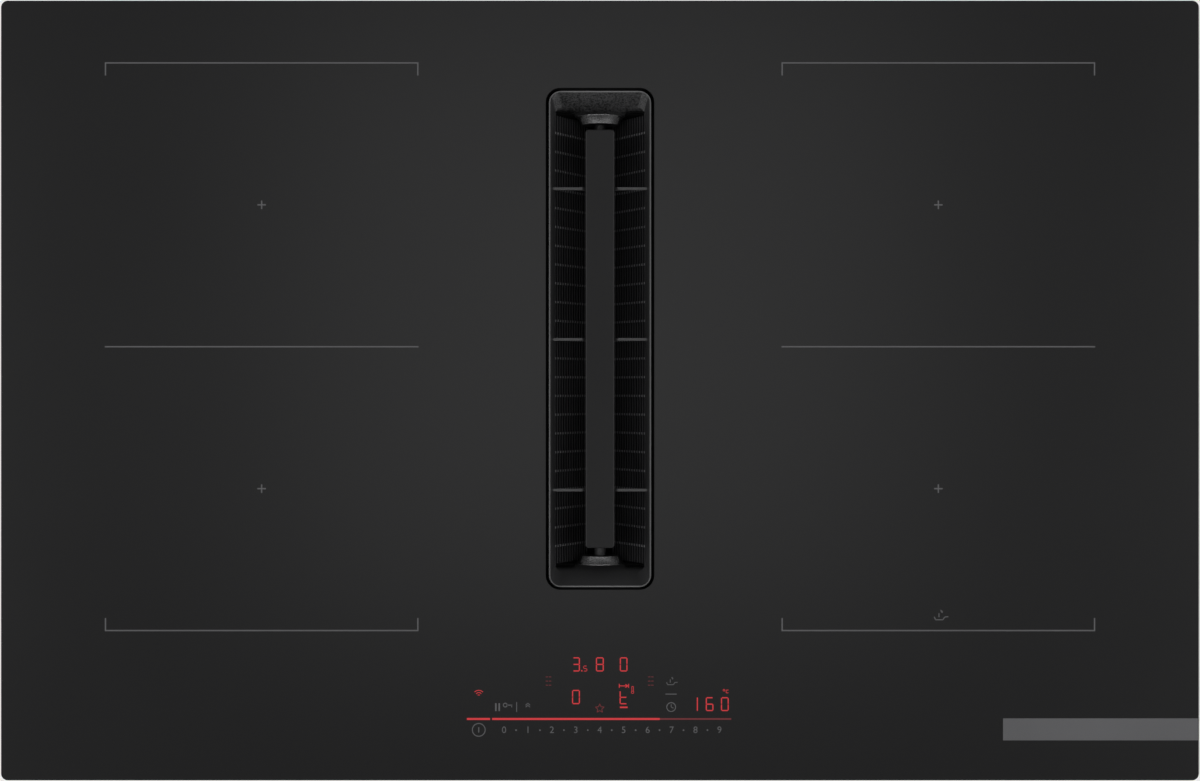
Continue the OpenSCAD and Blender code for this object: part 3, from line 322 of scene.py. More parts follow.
finishes = {
    # fired grey enamel print: a flat dull grey with the faint speckle of its screen
    "screen_print": {
        "name": "enamel_screen_print_fired", "dark": "#535355", "light": "#606062", "grain": 0.25,
        "rough": (0.5, 0.65), "bump": 0.1, "height": 0.01, "ior": 1.5},
    # closed-cell foam tape: dull black with small cells
    "foam_tape": {
        "name": "foam_closed_cell_cut", "dark": "#151515", "light": "#2a2a2a", "grain": 0.8,
        "rough": (0.8, 0.95), "bump": 0.5, "height": 0.2, "ior": 1.45},
    # hot-dip galvanised sheet: silver spangle, each crystal with its own tone and gloss
    "galvanised_sheet": {
        "name": "steel_hot_dip_galvanised", "dark": "#a6a9ab", "light": "#bec1c3", "grain": 7.0,
        "cells": True, "metal": 1.0, "rough": (0.36, 0.46), "bump": 0.04, "height": 0.03},
    # injection-moulded black plastic with a fine spark-eroded grain: soft broken gloss
    "black_moulding": {
        "name": "plastic_injection_moulded_black", "dark": "#131314", "light": "#1f1f21", "grain": 0.6,
        "rough": (0.38, 0.55), "bump": 0.35, "height": 0.05, "ior": 1.5},
    # sandblasted cast metal under a black coat: matt, with a grain one can see
    "cast_black": {
        "name": "aluminium_cast_sandblasted_black", "dark": "#2a2a2b", "light": "#525253", "grain": 0.9,
        "rough": (0.45, 0.62), "bump": 0.7, "height": 0.14, "ior": 1.5},
    # fine matt powder coat: even, only a faint orange peel
    "coated_bar": {
        "name": "steel_powder_coated_fine", "dark": "#131314", "light": "#1b1b1c", "grain": 0.4,
        "rough": (0.5, 0.6), "bump": 0.3, "height": 0.03, "ior": 1.38},
    # stamped sheet under a thin black coat: a touch glossier, with drawn streaks
    "stamped_steel": {
        "name": "steel_stamped_black_coat", "dark": "#28282a", "light": "#3c3c3e", "grain": 0.5,
        "stretch": (1, 0.1, 1), "rough": (0.34, 0.5), "bump": 0.3, "height": 0.03, "ior": 1.5},
    # pressed aluminium: pale metal with fine drawn lines along Y
    "pressed_aluminium": {
        "name": "aluminium_pressed_drawn", "dark": "#b4b6b8", "light": "#d2d4d6", "grain": 0.5,
        "stretch": (1, 0.04, 1), "metal": 1.0, "rough": (0.25, 0.4), "bump": 0.15, "height": 0.02},
    # wound litz copper under clear varnish: warm strands of 0.4 mm with a glossy skin
    "copper_winding": {
        "name": "copper_litz_varnished", "dark": "#8a4a20", "light": "#d48a4c", "grain": 0.5,
        "metal": 0.9, "rough": (0.25, 0.45), "bump": 0.7, "height": 0.15, "coat": 0.5},
    # glass-filled heat-proof moulding: off-white, matt, with a slight flow mottle
    "pale_moulding": {
        "name": "plastic_glass_filled_moulded_pale", "dark": "#d0cfca", "light": "#e2e1dd",
        "grain": 0.7, "rough": (0.45, 0.6), "bump": 0.25, "height": 0.03, "ior": 1.52},
    # sintered ferrite: dense grey-black ceramic with a dry sheen
    "ferrite": {
        "name": "ferrite_sintered", "dark": "#262628", "light": "#3b3b3d", "grain": 0.5,
        "rough": (0.4, 0.6), "bump": 0.4, "height": 0.05, "ior": 1.8},
    # pressed mica sheet: pale tan flakes with a pearly gloss
    "mica": {
        "name": "mica_sheet_pressed", "dark": "#b9ae97", "light": "#ddd5c3", "grain": 3.0,
        "cells": True, "rough": (0.28, 0.55), "bump": 0.15, "height": 0.04, "ior": 1.58},
    # shrunk film sleeve on a capacitor: smooth blue with a clear gloss
    "capacitor_sleeve": {
        "name": "film_sleeve_shrunk", "dark": "#1d2b5c", "light": "#263876", "grain": 2.5,
        "rough": (0.16, 0.24), "bump": 0.1, "height": 0.04, "ior": 1.5},
    # turned and ground steel: bright, with fine rings from the tool
    "turned_steel": {
        "name": "steel_turned_ground", "dark": "#a5a6a8", "light": "#c4c5c7", "grain": 0.4,
        "stretch": (0.2, 0.2, 1), "metal": 1.0, "rough": (0.18, 0.3), "bump": 0.12, "height": 0.01},
    # varnished stack of 0.5 mm laminations: brown-black layers
    "motor_iron": {
        "name": "iron_laminations_varnished", "dark": "#3a2416", "light": "#6d472c", "grain": 0.5,
        "stretch": (0.05, 0.05, 1), "metal": 0.4, "rough": (0.3, 0.45), "bump": 0.5, "height": 0.08},
    # zinc-plated steel: bright with a faint yellow-blue cloud
    "zinc_screw": {
        "name": "steel_zinc_plated", "dark": "#b1b3b4", "light": "#d0d0cc", "grain": 1.2, "metal": 1.0,
        "rough": (0.22, 0.34), "bump": 0.1, "height": 0.02},
}
materials = {name: grainMaterial(look) for name, look in finishes.items()}

# crown of the boss: a pale grain of 1 mm, painted paler as a painted highlight where the crown faces the
# lamps overhead
paintedHighlightBoss = grainMaterial({
    "name": "aluminium_cast_boss_painted_highlight", "dark": "#909091", "light": "#e2e2e3", "grain": 0.8,
    "spread": 0.16, "rough": (0.44, 0.56), "bump": 0.5, "height": 0.1, "metal": 0.75})
# sloped rear end, sandblasted under the coat: dark, with a coarse grain; the front end takes the painted
# shade instead
blastedEnd = grainMaterial({
    "name": "aluminium_cast_coarse_blasted_black", "dark": "#121213", "light": "#525253", "grain": 1.2,
    "spread": 0.1, "rough": (0.5, 0.66), "bump": 0.8, "height": 0.16, "ior": 1.5})
# rounded corners beside the sloped rear end: a blasted grain, painted paler as a painted highlight where the
# corners catch the light
paintedHighlightCorner = grainMaterial({
    "name": "aluminium_cast_corner_painted_highlight", "dark": "#343435", "light": "#6c6c6d", "grain": 1.1,
    "spread": 0.14, "rough": (0.5, 0.66), "bump": 0.6, "height": 0.12, "ior": 1.5})
# cross ribs and front pin: the same coat, painted lighter as painted light where they face the lamps, so
# they read lighter
paintedLightRibsAndPin = grainMaterial({
    "name": "aluminium_cast_ribs_painted_light", "dark": "#4c4c4d", "light": "#707071", "grain": 0.6,
    "rough": (0.4, 0.55), "bump": 0.4, "height": 0.06, "ior": 1.5})
# top of the rim: a fine light line round the dark casting, painted paler as a painted highlight where the
# flat top faces the lamps
paintedHighlightRim = grainMaterial({
    "name": "aluminium_cast_rim_painted_highlight", "dark": "#626263", "light": "#868687", "grain": 0.6,
    "rough": (0.4, 0.55), "bump": 0.3, "height": 0.04, "ior": 1.5})
# side walls, front end, boss flanks and rear pin: the same coat painted darker as painted shade, no grain
paintedShadeWall = grainMaterial({
    "name": "aluminium_cast_painted_shade", "dark": "#2c2c2d", "light": "#3a3a3b", "grain": 0.5,
    "rough": (0.4, 0.5), "bump": 0.1, "height": 0.02, "ior": 1.45})
# edge of the glass plate, ground with diamond wheels: dull and almost black, a painted shade that draws a
# thin dark outline even where the lamps reach it
shadedGlassEdge = grainMaterial({
    "name": "glass_ceramic_edge_ground_painted_shade", "dark": "#030303", "light": "#060607", "grain": 0.3,
    "rough": (0.7, 0.85), "bump": 0.2, "height": 0.01, "ior": 1.5, "gloss": 0.05})
# flange, and the sheet, end caps and trough behind the slots: near-black that gives back almost no light,
# painted shade for the dark inside the filter
paintedShadeBlack = grainMaterial({
    "name": "steel_sheet_painted_shade_black", "dark": "#050505", "light": "#0b0b0c", "grain": 0.7,
    "rough": (0.75, 0.9), "bump": 0.2, "height": 0.03, "ior": 1.5, "gloss": 0.05})
# crowns of the pressed beads on the webs: painted pale as painted highlights, so they read as rows of bright
# dots
paintedHighlightDot = grainMaterial({
    "name": "steel_stamped_painted_highlight", "dark": "#98989a", "light": "#c2c2c4", "grain": 0.4,
    "rough": (0.35, 0.5), "bump": 0.2, "height": 0.02, "metal": 0.4})

# speck and haze are sizes in millimetres; tracks, pads and dot are counts to the metre
glassLook = {"name": "black_glass_ceramic_rolled", "dark": "#0d0d0e", "light": "#121213", "speck": 0.4,
             "haze": 125, "rough": (0.25, 0.28), "ior": 1.53}
boardLook = {"name": "glass_board_solder_masked", "mask": ("#12492c", "#165535"), "track": "#2b7a4e",
             "tracks": 60.0, "trackW": 0.035, "trackSoft": 0.2, "offset": 0.37, "pads": 160.0,
             "padSize": 0.13, "tin": "#b8b6a4", "bump": 0.4, "height": 0.05, "rough": 0.28, "ior": 1.5}
lampLook = {"dot": 900.0, "low": 0.85, "unlit": "#101010", "rough": 0.4}


def glassCeramicMaterial(look):
    # rolled and ceramised black glass: deep black, its top slightly dulled so that light spreads softly
    material, tree, shader = newMaterial(look["name"])
    place = addNode(tree, "ShaderNodeTexCoord").outputs["Object"]
    haze = addNode(tree, "ShaderNodeTexNoise", inputs={
        "Vector": place, "Scale": 1 / (look["haze"] * mm), "Detail": 3.0}).outputs["Fac"]
    smoothest, roughest = look["rough"]
    rough = addNode(tree, "ShaderNodeMapRange", inputs={
        "Value": haze, "To Min": smoothest, "To Max": roughest}).outputs["Result"]
    tree.links.new(rough, shader.inputs["Roughness"])
    speck = addNode(tree, "ShaderNodeTexNoise", inputs={
        "Vector": place, "Scale": 1 / (look["speck"] * mm)}).outputs["Fac"]
    colour = addNode(tree, "ShaderNodeMix", {"data_type": "RGBA"}, {
        0: speck, 6: srgb(look["dark"]), 7: srgb(look["light"])}).outputs[2]
    tree.links.new(colour, shader.inputs["Base Color"])
    shader.inputs["IOR"].default_value = look["ior"]
    return material


def circuitBoardMaterial(look):
    # solder mask on woven glass board: green gloss with copper tracks of about 1.5 mm showing through
    material, tree, shader = newMaterial(look["name"])
    place = addNode(tree, "ShaderNodeTexCoord").outputs["Object"]
    one, other = look["mask"]
    tracks = addNode(tree, "ShaderNodeTexBrick", {"offset": look["offset"]}, {
        "Vector": place, "Scale": look["tracks"], "Mortar Size": look["trackW"],
        "Mortar Smooth": look["trackSoft"], "Color1": srgb(one), "Color2": srgb(other),
        "Mortar": srgb(look["track"])})
    pads = addNode(tree, "ShaderNodeTexVoronoi", {"feature": "F1"}, {"Vector": place, "Scale": look["pads"]})
    spot = addNode(tree, "ShaderNodeMath", {"operation": "LESS_THAN"}, {
        0: pads.outputs["Distance"], 1: look["padSize"]}).outputs["Value"]
    colour = addNode(tree, "ShaderNodeMix", {"data_type": "RGBA"}, {
        0: spot, 6: tracks.outputs["Color"], 7: srgb(look["tin"])}).outputs[2]
    tree.links.new(colour, shader.inputs["Base Color"])
    tree.links.new(spot, shader.inputs["Metallic"])
    bump = addNode(tree, "ShaderNodeBump", inputs={
        "Strength": look["bump"], "Distance": look["height"] * mm, "Height": tracks.outputs["Fac"]})
    tree.links.new(bump.outputs["Normal"], shader.inputs["Normal"])
    shader.inputs["Roughness"].default_value = look["rough"]
    shader.inputs["IOR"].default_value = look["ior"]
    return material


def litMaterial(name, tone, strength):
    # light of a display seen through dark glass: an even glow with a slight dot mottle of the diffuser
    material, tree, shader = newMaterial(name)
    place = addNode(tree, "ShaderNodeTexCoord").outputs["Object"]
    mottle = addNode(tree, "ShaderNodeTexNoise", inputs={
        "Vector": place, "Scale": lampLook["dot"]}).outputs["Fac"]
    full = srgb(tone)
    faint = [c * lampLook["low"] for c in full[:3]] + [1]
    glow = addNode(tree, "ShaderNodeMix", {"data_type": "RGBA"}, {0: mottle, 6: faint, 7: full}).outputs[2]
    tree.links.new(glow, shader.inputs["Emission Color"])
    shader.inputs["Base Color"].default_value = srgb(lampLook["unlit"])
    shader.inputs["Emission Strength"].default_value = strength
    shader.inputs["Roughness"].default_value = lampLook["rough"]
    return material


materials["glass_ceramic"] = glassCeramicMaterial(glassLook)
materials["circuit_board"] = circuitBoardMaterial(boardLook)
redLight = litMaterial("lamp_diffuser_red_lit", "#d9333a", 0.92)
dimRedLight = litMaterial("lamp_diffuser_red_dimmed", "#6e2328", 0.9)
# the two parts of the filter that lie in the dark behind its slots, painted near-black as painted shade
paintedShadeParts = ("filter_end_caps", "filter_trough")
print("materials made:", len(bpy.data.materials))

# every CAD node takes the finish of its slot, but for the two that take the painted shade
for part in frame["record"]["subparts"]:
    node = part["node"]
    paint(frame["nodes"][node], paintedShadeBlack if node in paintedShadeParts else materials[part["material_slot"]])

# cut is how far down and up the block reaches that cuts the intake; flat is the least upward share of the
# normal that still counts as lying flat
glass = {"half": (401, 261), "bottom": 1, "cornerR": 4.5, "cornerSteps": 8, "edge": 0.9, "edgeSteps": 3,
         "ventHalf": (36.15, 167.8), "ventR": 9.5, "ventSteps": 10, "cut": (-5, 10), "flat": 0.985}


def makeGlass():
    g = glass
    hx, hy = g["half"]
    vx, vy = g["ventHalf"]
    cutLow, cutHigh = g["cut"]
    plate = addBox("glassPlate", (-hx, -hy, g["bottom"]), (hx, hy, glassTop))
    bevelEdges(plate, upright, g["cornerR"], g["cornerSteps"])
    hole = addBox("hole", (-vx, ventY - vy, cutLow), (vx, ventY + vy, cutHigh))
    bevelEdges(hole, upright, g["ventR"], g["ventSteps"])
    combine(plate, hole, "DIFFERENCE")
    softenEdges(plate, g["edge"], g["edgeSteps"], 60)
    smoothSides(plate, 40)
    paint(plate, materials["glass_ceramic"])
    plate.data.materials.append(shadedGlassEdge)
    # only the faces that lie flat keep the gloss of the plate; the others take the painted shade of the edge
    for face in plate.data.polygons:
        face.material_index = 1 if abs(face.normal.z) < g["flat"] else 0
    finishPiece(plate, "root", "glass_ceramic", materials["glass_ceramic"], "glass_plate")


makeGlass()
print("glass plate done")

grille = {
    "rimHalf": (34.3, 166.7), "rimR": 8, "rimTop": -1, "rimLine": 0.9, "rimHighlightDepth": 0.6, "wallBottom": -16,
    "footHalf": (30.9, 157.63), "cavityR": 6.5, "slopeBottom": -23, "soft": 0.35,
    "endIn": 154, "endT": 2.5, "endHalfW": 30, "endBottom": -62.1, "endR": 9, "endRise": 8.5, "endLean": 4.9,
    "cutAbove": 4, "cutBelow": 5, "cutBeside": 2,
}
# steps are the depth and the radius of each turned ring, from the wall to the crown
boss = {"z": -43, "length": 5.9, "r": 13.2, "footR": 16.6, "sunk": 0.5, "footT": 1.1, "edge": 0.7,
        "steps": ((0.9, 15.3), (1.2, 14.3), (1.3, 13.6), (1.2, 13.2), (0.8, 13.2)),
        "boreR": 3.95, "boreDepth": 5, "highlightAbove": 0.35}
# a rib runs from the wall to the bar; its foot goes on below it in three parts and dips at the tip
rib = {"pitch": 102, "thick": 1.9, "top": -12, "depth": 4, "wallX": 31.8, "armX": 17.8,
       "bend": 4, "foot": 2, "tip": 1.7, "drop": 4, "dip": 2, "soft": 0.3}


def currentRadius(piece):
    low = min(v.co.y for v in piece.data.vertices)
    return max(v.co.x for v in piece.data.vertices if v.co.y < low + 1e-6) / mm


def makeBoss():
    b = boss
    wall = ventY + grille["endIn"]
    crown = wall - b["length"]
    shape = addRod("boss", b["footR"], (0, wall - b["sunk"], b["z"]), b["footT"], 64)
    for depth, radius in b["steps"]:
        k = radius / currentRadius(shape)
        pushFace(shape, lambda p, n: n.y < -0.9, (0, -depth, 0), (k, 1, k))
    bevelEdges(shape, lambda p, d: abs(d.y) < 0.1 and p.y < crown + 0.05, b["edge"], 3)
    pick(shape, "faces", lambda p, n: n.y < -0.99 and abs(p.z - b["z"]) < 0.5 and abs(p.x) < 0.5)
    bpy.ops.mesh.inset(thickness=(b["r"] - b["edge"] - b["boreR"]) * mm)
    bpy.ops.mesh.extrude_region_move(TRANSFORM_OT_translate={"value": (0, b["boreDepth"] * mm, 0)})
    leaveEdit()
    smoothSides(shape, 40)
    paint(shape, paintedHighlightBoss)
    shape.data.materials.append(paintedShadeWall)
    # the upper side takes the painted highlight, the flanks take the painted shade
    for face in shape.data.polygons:
        face.material_index = 0 if face.normal.z > b["highlightAbove"] else 1
    return shape


def makeRib():
    half, top = rib["thick"] / 2, rib["top"]
    bendX = rib["armX"] - rib["bend"]
    tipX = bendX - rib["foot"] - rib["tip"]
    shape = addBox("rib", (rib["armX"], ventY - half, top - rib["depth"]), (rib["wallX"], ventY + half, top))

    def lengthen(by):
        pushFace(shape, lambda p, n: n.x < -0.9, (-by, 0, 0))

    lengthen(rib["bend"])
    moveVerts(shape, lambda p, n: p.x < bendX + 0.1 and p.z < top - 3, (0, 0, -rib["drop"]))
    lengthen(rib["foot"])
    lengthen(rib["tip"])
    moveVerts(shape, lambda p, n: p.x < tipX + 0.2 and p.z > top - 1, (0, 0, -rib["dip"]))
    softenEdges(shape, rib["soft"], 2, 40)
    smoothSides(shape)
    # the ribs are painted lighter as painted light
    return paint(shape, paintedLightRibsAndPin)


def makeGrilleBody():
    g = grille
    rx, ry = g["rimHalf"]
    body = addBox("grilleFrame", (-rx, ventY - ry, g["wallBottom"]), (rx, ventY + ry, g["rimTop"]))
    bevelEdges(body, upright, g["rimR"], 10)
    for side in (1, -1):
        # an end wall that stands deep in the intake and leans out to meet the rim
        y0, y1 = sorted((side * (g["endIn"] - g["endT"]), side * (g["endIn"] + g["endT"])))
        block = addBox("endPlate", (-g["endHalfW"], ventY + y0, g["endBottom"]),
                       (g["endHalfW"], ventY + y1, g["slopeBottom"]))
        bevelEdges(block, lambda p, d: abs(d.y) > 0.9 and p.z < g["slopeBottom"] - 20, g["endR"], 6)
        pushFace(block, facingUp, (0, 0, g["endRise"]))
        outer = ventY + side * (g["endIn"] + g["endT"])
        moveVerts(block, lambda p, n: p.z > g["slopeBottom"] + g["endRise"] - 0.5 and abs(p.y - outer) < 0.1,
                  (0, side * g["endLean"], 0))
        combine(body, block, "UNION")
    # the hollow: a funnel under the rim, and a straight shaft below it
    fx, fy = g["footHalf"]
    tx, ty = rx - g["rimLine"], ry - g["rimLine"]
    cavity = addBox("cavity", (-tx, ventY - ty, g["wallBottom"]), (tx, ventY + ty, g["rimTop"]))
    pick(cavity, "faces", facingDown)
    bpy.ops.transform.resize(value=(fx / tx, fy / ty, 1),
                             center_override=(0, ventY * mm, g["wallBottom"] * mm))
    leaveEdit()
    pushFace(cavity, facingUp, (0, 0, g["cutAbove"]))
    bevelEdges(cavity, lambda p, d: abs(d.z) > 0.5, g["cavityR"], 8)
    lowX = fx + g["cutBeside"]
    low = addBox("lowCavity", (-lowX, ventY - g["endIn"], g["endBottom"] - g["cutBelow"]),
                 (lowX, ventY + g["endIn"], g["slopeBottom"]))
    pushFace(low, facingUp, (0, 0, g["wallBottom"] - g["slopeBottom"]), (fx / lowX, fy / g["endIn"], 1))
    combine(body, cavity, "DIFFERENCE")
    combine(body, low, "DIFFERENCE")
    softenEdges(body, g["soft"], 2, 50)
    smoothSides(body)
    return body


def paintGrilleBody(body):
    paint(body, materials["cast_black"])
    for extra in (paintedShadeWall, blastedEnd, paintedHighlightRim, paintedHighlightCorner):
        body.data.materials.append(extra)
    look = {"paintedDark": 1, "end": 2, "rim": 3, "corner": 4}
    # the rim top and the rounded rear corners take painted highlights; the side walls, the front half and
    # the faces turned down take painted shade
    for face in body.data.polygons:
        across = abs(face.normal.x)
        if face.center.z / mm > grille["rimTop"] - grille["rimHighlightDepth"]:
            face.material_index = look["rim"]
        elif across > 0.8 or face.normal.z < -0.5 or face.center.y < ventY * mm:
            face.material_index = look["paintedDark"]
        else:
            face.material_index = look["end" if across < 0.2 else "corner"]


def makeGrilleFrame():
    body = makeGrilleBody()
    paintGrilleBody(body)
    rearBoss = makeBoss()
    pattern = makeRib()
    parts = [body, rearBoss, copyTurned(rearBoss, "bossFront", pi)]
    for k in (-1, 0, 1):
        right = copyTurned(pattern, "ribRight", 0)
        activate(right)
        right.location.y = k * rib["pitch"] * mm
        settle()
        parts += [right, copyTurned(right, "ribLeft", pi)]
    bpy.data.objects.remove(pattern, do_unlink=True)
    whole = joinAll("grilleFrame", *parts)
    finishPiece(whole, "grille", "cast_black", materials["cast_black"], "grille_frame")


makeGrilleFrame()
print("grille frame done")

bar = {"halfW": 9.8, "halfL": 140.2, "taperTop": -38, "bottom": -52, "footShare": 12 / 19.6, "cornerR": 2,
       "chamfer": 1.2, "pinR": 3.9, "pinEnd": 153.3, "pinZ": -43, "pinSunk": 2, "pinEdge": 0.5}


def makeBar():
    b = bar
    blade = addBox("grilleBar", (-b["halfW"], ventY - b["halfL"], b["taperTop"]),
                   (b["halfW"], ventY + b["halfL"], glassTop))
    pushFace(blade, facingDown, (0, 0, b["bottom"] - b["taperTop"]), (b["footShare"], 1, 1))
    bevelEdges(blade, lambda p, d: abs(d.z) > 0.5, b["cornerR"], 5)
    bevelEdges(blade, lambda p, d: p.z > glassTop - 0.01, b["chamfer"], 3)
    smoothSides(blade)
    parts = [blade]
    for side in (1, -1):
        start = ventY + (b["halfL"] - b["pinSunk"] if side > 0 else -b["pinEnd"])
        pin = addRod("pin", b["pinR"], (0, start, b["pinZ"]), b["pinEnd"] - b["halfL"] + b["pinSunk"], 32)
        softenEdges(pin, b["pinEdge"], 2, 60)
        smoothSides(pin, 40)
        # the rear pin, in the shade of its boss, is painted dark as painted shade; the front pin is painted
        # lighter as painted light
        parts.append(paint(pin, paintedShadeWall if side > 0 else paintedLightRibsAndPin))
    paint(blade, materials["coated_bar"])
    whole = joinAll("grilleBar", *parts)
    finishPiece(whole, "grille", "coated_bar", materials["coated_bar"], "grille_bar")


makeBar()
print("bar done")

# slope in degrees; run, lead and web are measured down the slope, the rest of the wall along Y or through it
filterWall = {"topX": 29.7, "topZ": -18, "slope": 66, "run": 52.1, "lead": 1.7, "sheet": 1.2, "halfL": 153.6,
              "web": 1.25, "webs": 14, "webEdge": 0.25, "endT": 0.5, "endBack": 0.1, "rows": 25,
              "rowPitch": 12.75, "bridge": 1.5, "sunk": 0.35, "bite": 0.1, "beadInset": 0.1,
              "bead": (-0.05, 0.5), "slotShade": (0.3, 0.1)}
filterFlange = {"lap": 1.5, "cut": 3, "notch": 17.3, "notchCut": 5, "roll": 0.5}


def makeFilterWall():
    f = filterWall
    a = radians(180 - f["slope"])
    down = Vector((cos(a), 0, -sin(a)))  # down the slope
    outward = Vector((sin(a), 0, cos(a)))  # through the sheet, away from the bar
    start = Vector((f["topX"], ventY, f["topZ"]))
    sheet, lead, halfL = f["sheet"], f["lead"], f["halfL"]

    def strip(name, s0, s1, y0, y1, t0, t1):
        # a flat strip that lies in the slope, from t0 to t1 through its thickness
        deselectAll()
        mid = start + down * (s0 + s1) / 2 + Vector((0, (y0 + y1) / 2, 0)) + outward * (t0 + t1) / 2
        bpy.ops.mesh.primitive_cube_add(size=1, location=mid * mm, rotation=(0, a, 0))
        piece = bpy.context.object
        piece.scale = ((s1 - s0) * mm, (y1 - y0) * mm, (t1 - t0) * mm)
        piece.name = name
        settle()
        return piece

    web = strip("web", -lead, f["web"] - lead, -halfL, halfL, 0.0, sheet)
    bevelEdges(web, lambda p, d: abs(d.y) > 0.9, f["webEdge"], 2)
    step = (f["run"] + lead - f["web"]) / (f["webs"] - 1)
    repeat(web, f["webs"], down * step)
    paint(web, materials["stamped_steel"])
    ends = [strip("end", -lead, f["run"], y, y + f["endT"], f["endBack"], sheet)
            for y in (-halfL, halfL - f["endT"])]
    # the ends are painted near-black as painted shade
    for end in ends:
        paint(end, paintedShadeBlack)

    # between the slots of a column the sheet stays whole, a little sunk, with a bead on the web beside it
    firstRow = -(f["rows"] - 1) / 2 * f["rowPitch"]
    y0, y1 = firstRow - f["bridge"] / 2, firstRow + f["bridge"] / 2
    ledge = strip("ledge", f["web"] - lead - f["bite"], step - lead + f["bite"], y0, y1, f["sunk"], sheet)
    repeat(ledge, f["rows"], (0, f["rowPitch"], 0))
    repeat(ledge, f["webs"] - 1, down * step)
    paint(ledge, materials["stamped_steel"])
    y0, y1 = y0 + f["rowPitch"], y1 + f["rowPitch"]  # the end rows have no bead
    bead = strip("bead", f["beadInset"] - lead, f["web"] - f["beadInset"] - lead, y0, y1, *f["bead"])
    repeat(bead, f["rows"] - 2, (0, f["rowPitch"], 0))
    repeat(bead, f["webs"], down * step)
    # the beads carry painted highlights
    paint(bead, paintedHighlightDot)
    # a near-black sheet in the slots, painted shade where they open into the dark
    front, back = f["slotShade"]
    slotShade = strip("slotShade", -lead, f["run"], -halfL, halfL, sheet - front, sheet - back)
    paint(slotShade, paintedShadeBlack)

    wall = joinAll("filterWallRight", web, ledge, bead, slotShade, *ends)
    smoothSides(wall, 30)
    twin = copyTurned(wall, "filterWallLeft", pi)
    for piece, node in ((wall, "filter_panel_right"), (twin, "filter_panel_left")):
        finishPiece(piece, "filter_insert", "stamped_steel", materials["stamped_steel"], node)


def makeFilterFlange():
    # the flange round the two walls, its inner edge rolled down towards the slots
    f = filterFlange
    halfX, halfY = filterWall["topX"] + f["lap"], filterWall["halfL"]
    lo, hi = (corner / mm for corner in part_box("filter_flange"))
    flange = addBox("filterFlange", lo, hi)
    hole = addBox("hole", (-halfX, ventY - halfY, lo.z - f["cut"]), (halfX, ventY + halfY, hi.z + f["cut"]))
    combine(flange, hole, "DIFFERENCE")
    notch = addBox("notch", (-f["notch"], lo.y - f["notchCut"], lo.z - f["cut"]),
                   (f["notch"], hi.y + f["notchCut"], hi.z + f["cut"]))
    combine(flange, notch, "DIFFERENCE")
    bevelEdges(flange, lambda p, d: abs(d.z) < 0.1 and p.z > hi.z - 0.01 and abs(p.x) < halfX + 0.01
               and abs(p.y - ventY) < halfY + 0.01, f["roll"], 3)
    smoothSides(flange, 40)
    # the flange is painted near-black as painted shade
    finishPiece(flange, "filter_insert", "stamped_steel", paintedShadeBlack, "filter_flange")


makeFilterWall()
makeFilterFlange()
print("filter walls done")

# places and widths are in pixels of the photo, at the height of the glass; height is in millimetres;
# textScale goes from the height of a figure to the size of its font
display = {"pixel": 0.66917, "middle": (600, 390.5), "height": 0.05, "stroke": 1.1, "pointStroke": 0.62,
           "gap": 0.35, "digitStep": 23.94, "digitStart": 504.0, "digitY": 730.3, "digitSize": 6.7,
           "textScale": 1.42}


def toGlass(px, py):
    midX, midY = display["middle"]
    return (px - midX) * display["pixel"], (midY - py) * display["pixel"]


def bar2d(x0, y0, x1, y1):
    a, b = toGlass(x0, y1), toGlass(x1, y0)
    return addBox("mark", (a[0], a[1], glassTop), (b[0], b[1], glassTop + display["height"]))


def ring2d(px, py, radius, width, sides):
    inner, outer = radius - width / 2, radius + width / 2
    x, y = toGlass(px, py)
    mid = (x * mm, y * mm, glassTop * mm)
    deselectAll()
    bpy.ops.mesh.primitive_circle_add(vertices=sides, radius=inner * display["pixel"] * mm, location=mid)
    ring = bpy.context.object
    settle()
    activate(ring)
    bpy.ops.object.mode_set(mode="EDIT")
    bpy.ops.mesh.select_all(action="SELECT")
    bpy.ops.mesh.extrude_edges_move()
    bpy.ops.transform.resize(value=(outer / inner, outer / inner, 1), center_override=mid)
    bpy.ops.mesh.select_all(action="SELECT")
    bpy.ops.mesh.extrude_region_move(TRANSFORM_OT_translate={"value": (0, 0, display["height"] * mm)})
    bpy.ops.mesh.select_all(action="SELECT")
    bpy.ops.mesh.normals_make_consistent(inside=False)
    leaveEdit()
    return ring


def stroke2d(x0, y0, x1, y1, width):
    a, b = Vector(toGlass(x0, y0)), Vector(toGlass(x1, y1))
    line, mid = b - a, (a + b) / 2
    high = display["height"]
    deselectAll()
    bpy.ops.mesh.primitive_cube_add(size=1, location=(mid.x * mm, mid.y * mm, (glassTop + high / 2) * mm))
    piece = bpy.context.object
    piece.scale = (line.length * mm, width * display["pixel"] * mm, high * mm)
    piece.rotation_euler = (0, 0, -Vector((1, 0)).angle_signed(line))
    settle()
    return piece


# which of the seven strokes each figure lights; t is the small letter
segments = {"t": "defg", "0": "abcdef", "3": "abcdg", "5": "acdfg", "6": "acdefg", "8": "abcdefg"}


def sevenSegment(figure, x0, x1, y0, y1, width):
    mid = (y0 + y1) / 2
    h, gap = width / 2, display["gap"]
    left, right = x0 + h, x1 - h
    lines = {
        "a": (left + gap, y0 + h, right - gap, y0 + h), "d": (left + gap, y1 - h, right - gap, y1 - h),
        "g": (left + gap, mid, right - gap, mid), "f": (left, y0 + h + gap, left, mid - gap),
        "b": (right, y0 + h + gap, right, mid - gap), "e": (left, mid + gap, left, y1 - h - gap),
        "c": (right, mid + gap, right, y1 - h - gap),
    }
    return [stroke2d(*lines[s], width) for s in segments[figure]]


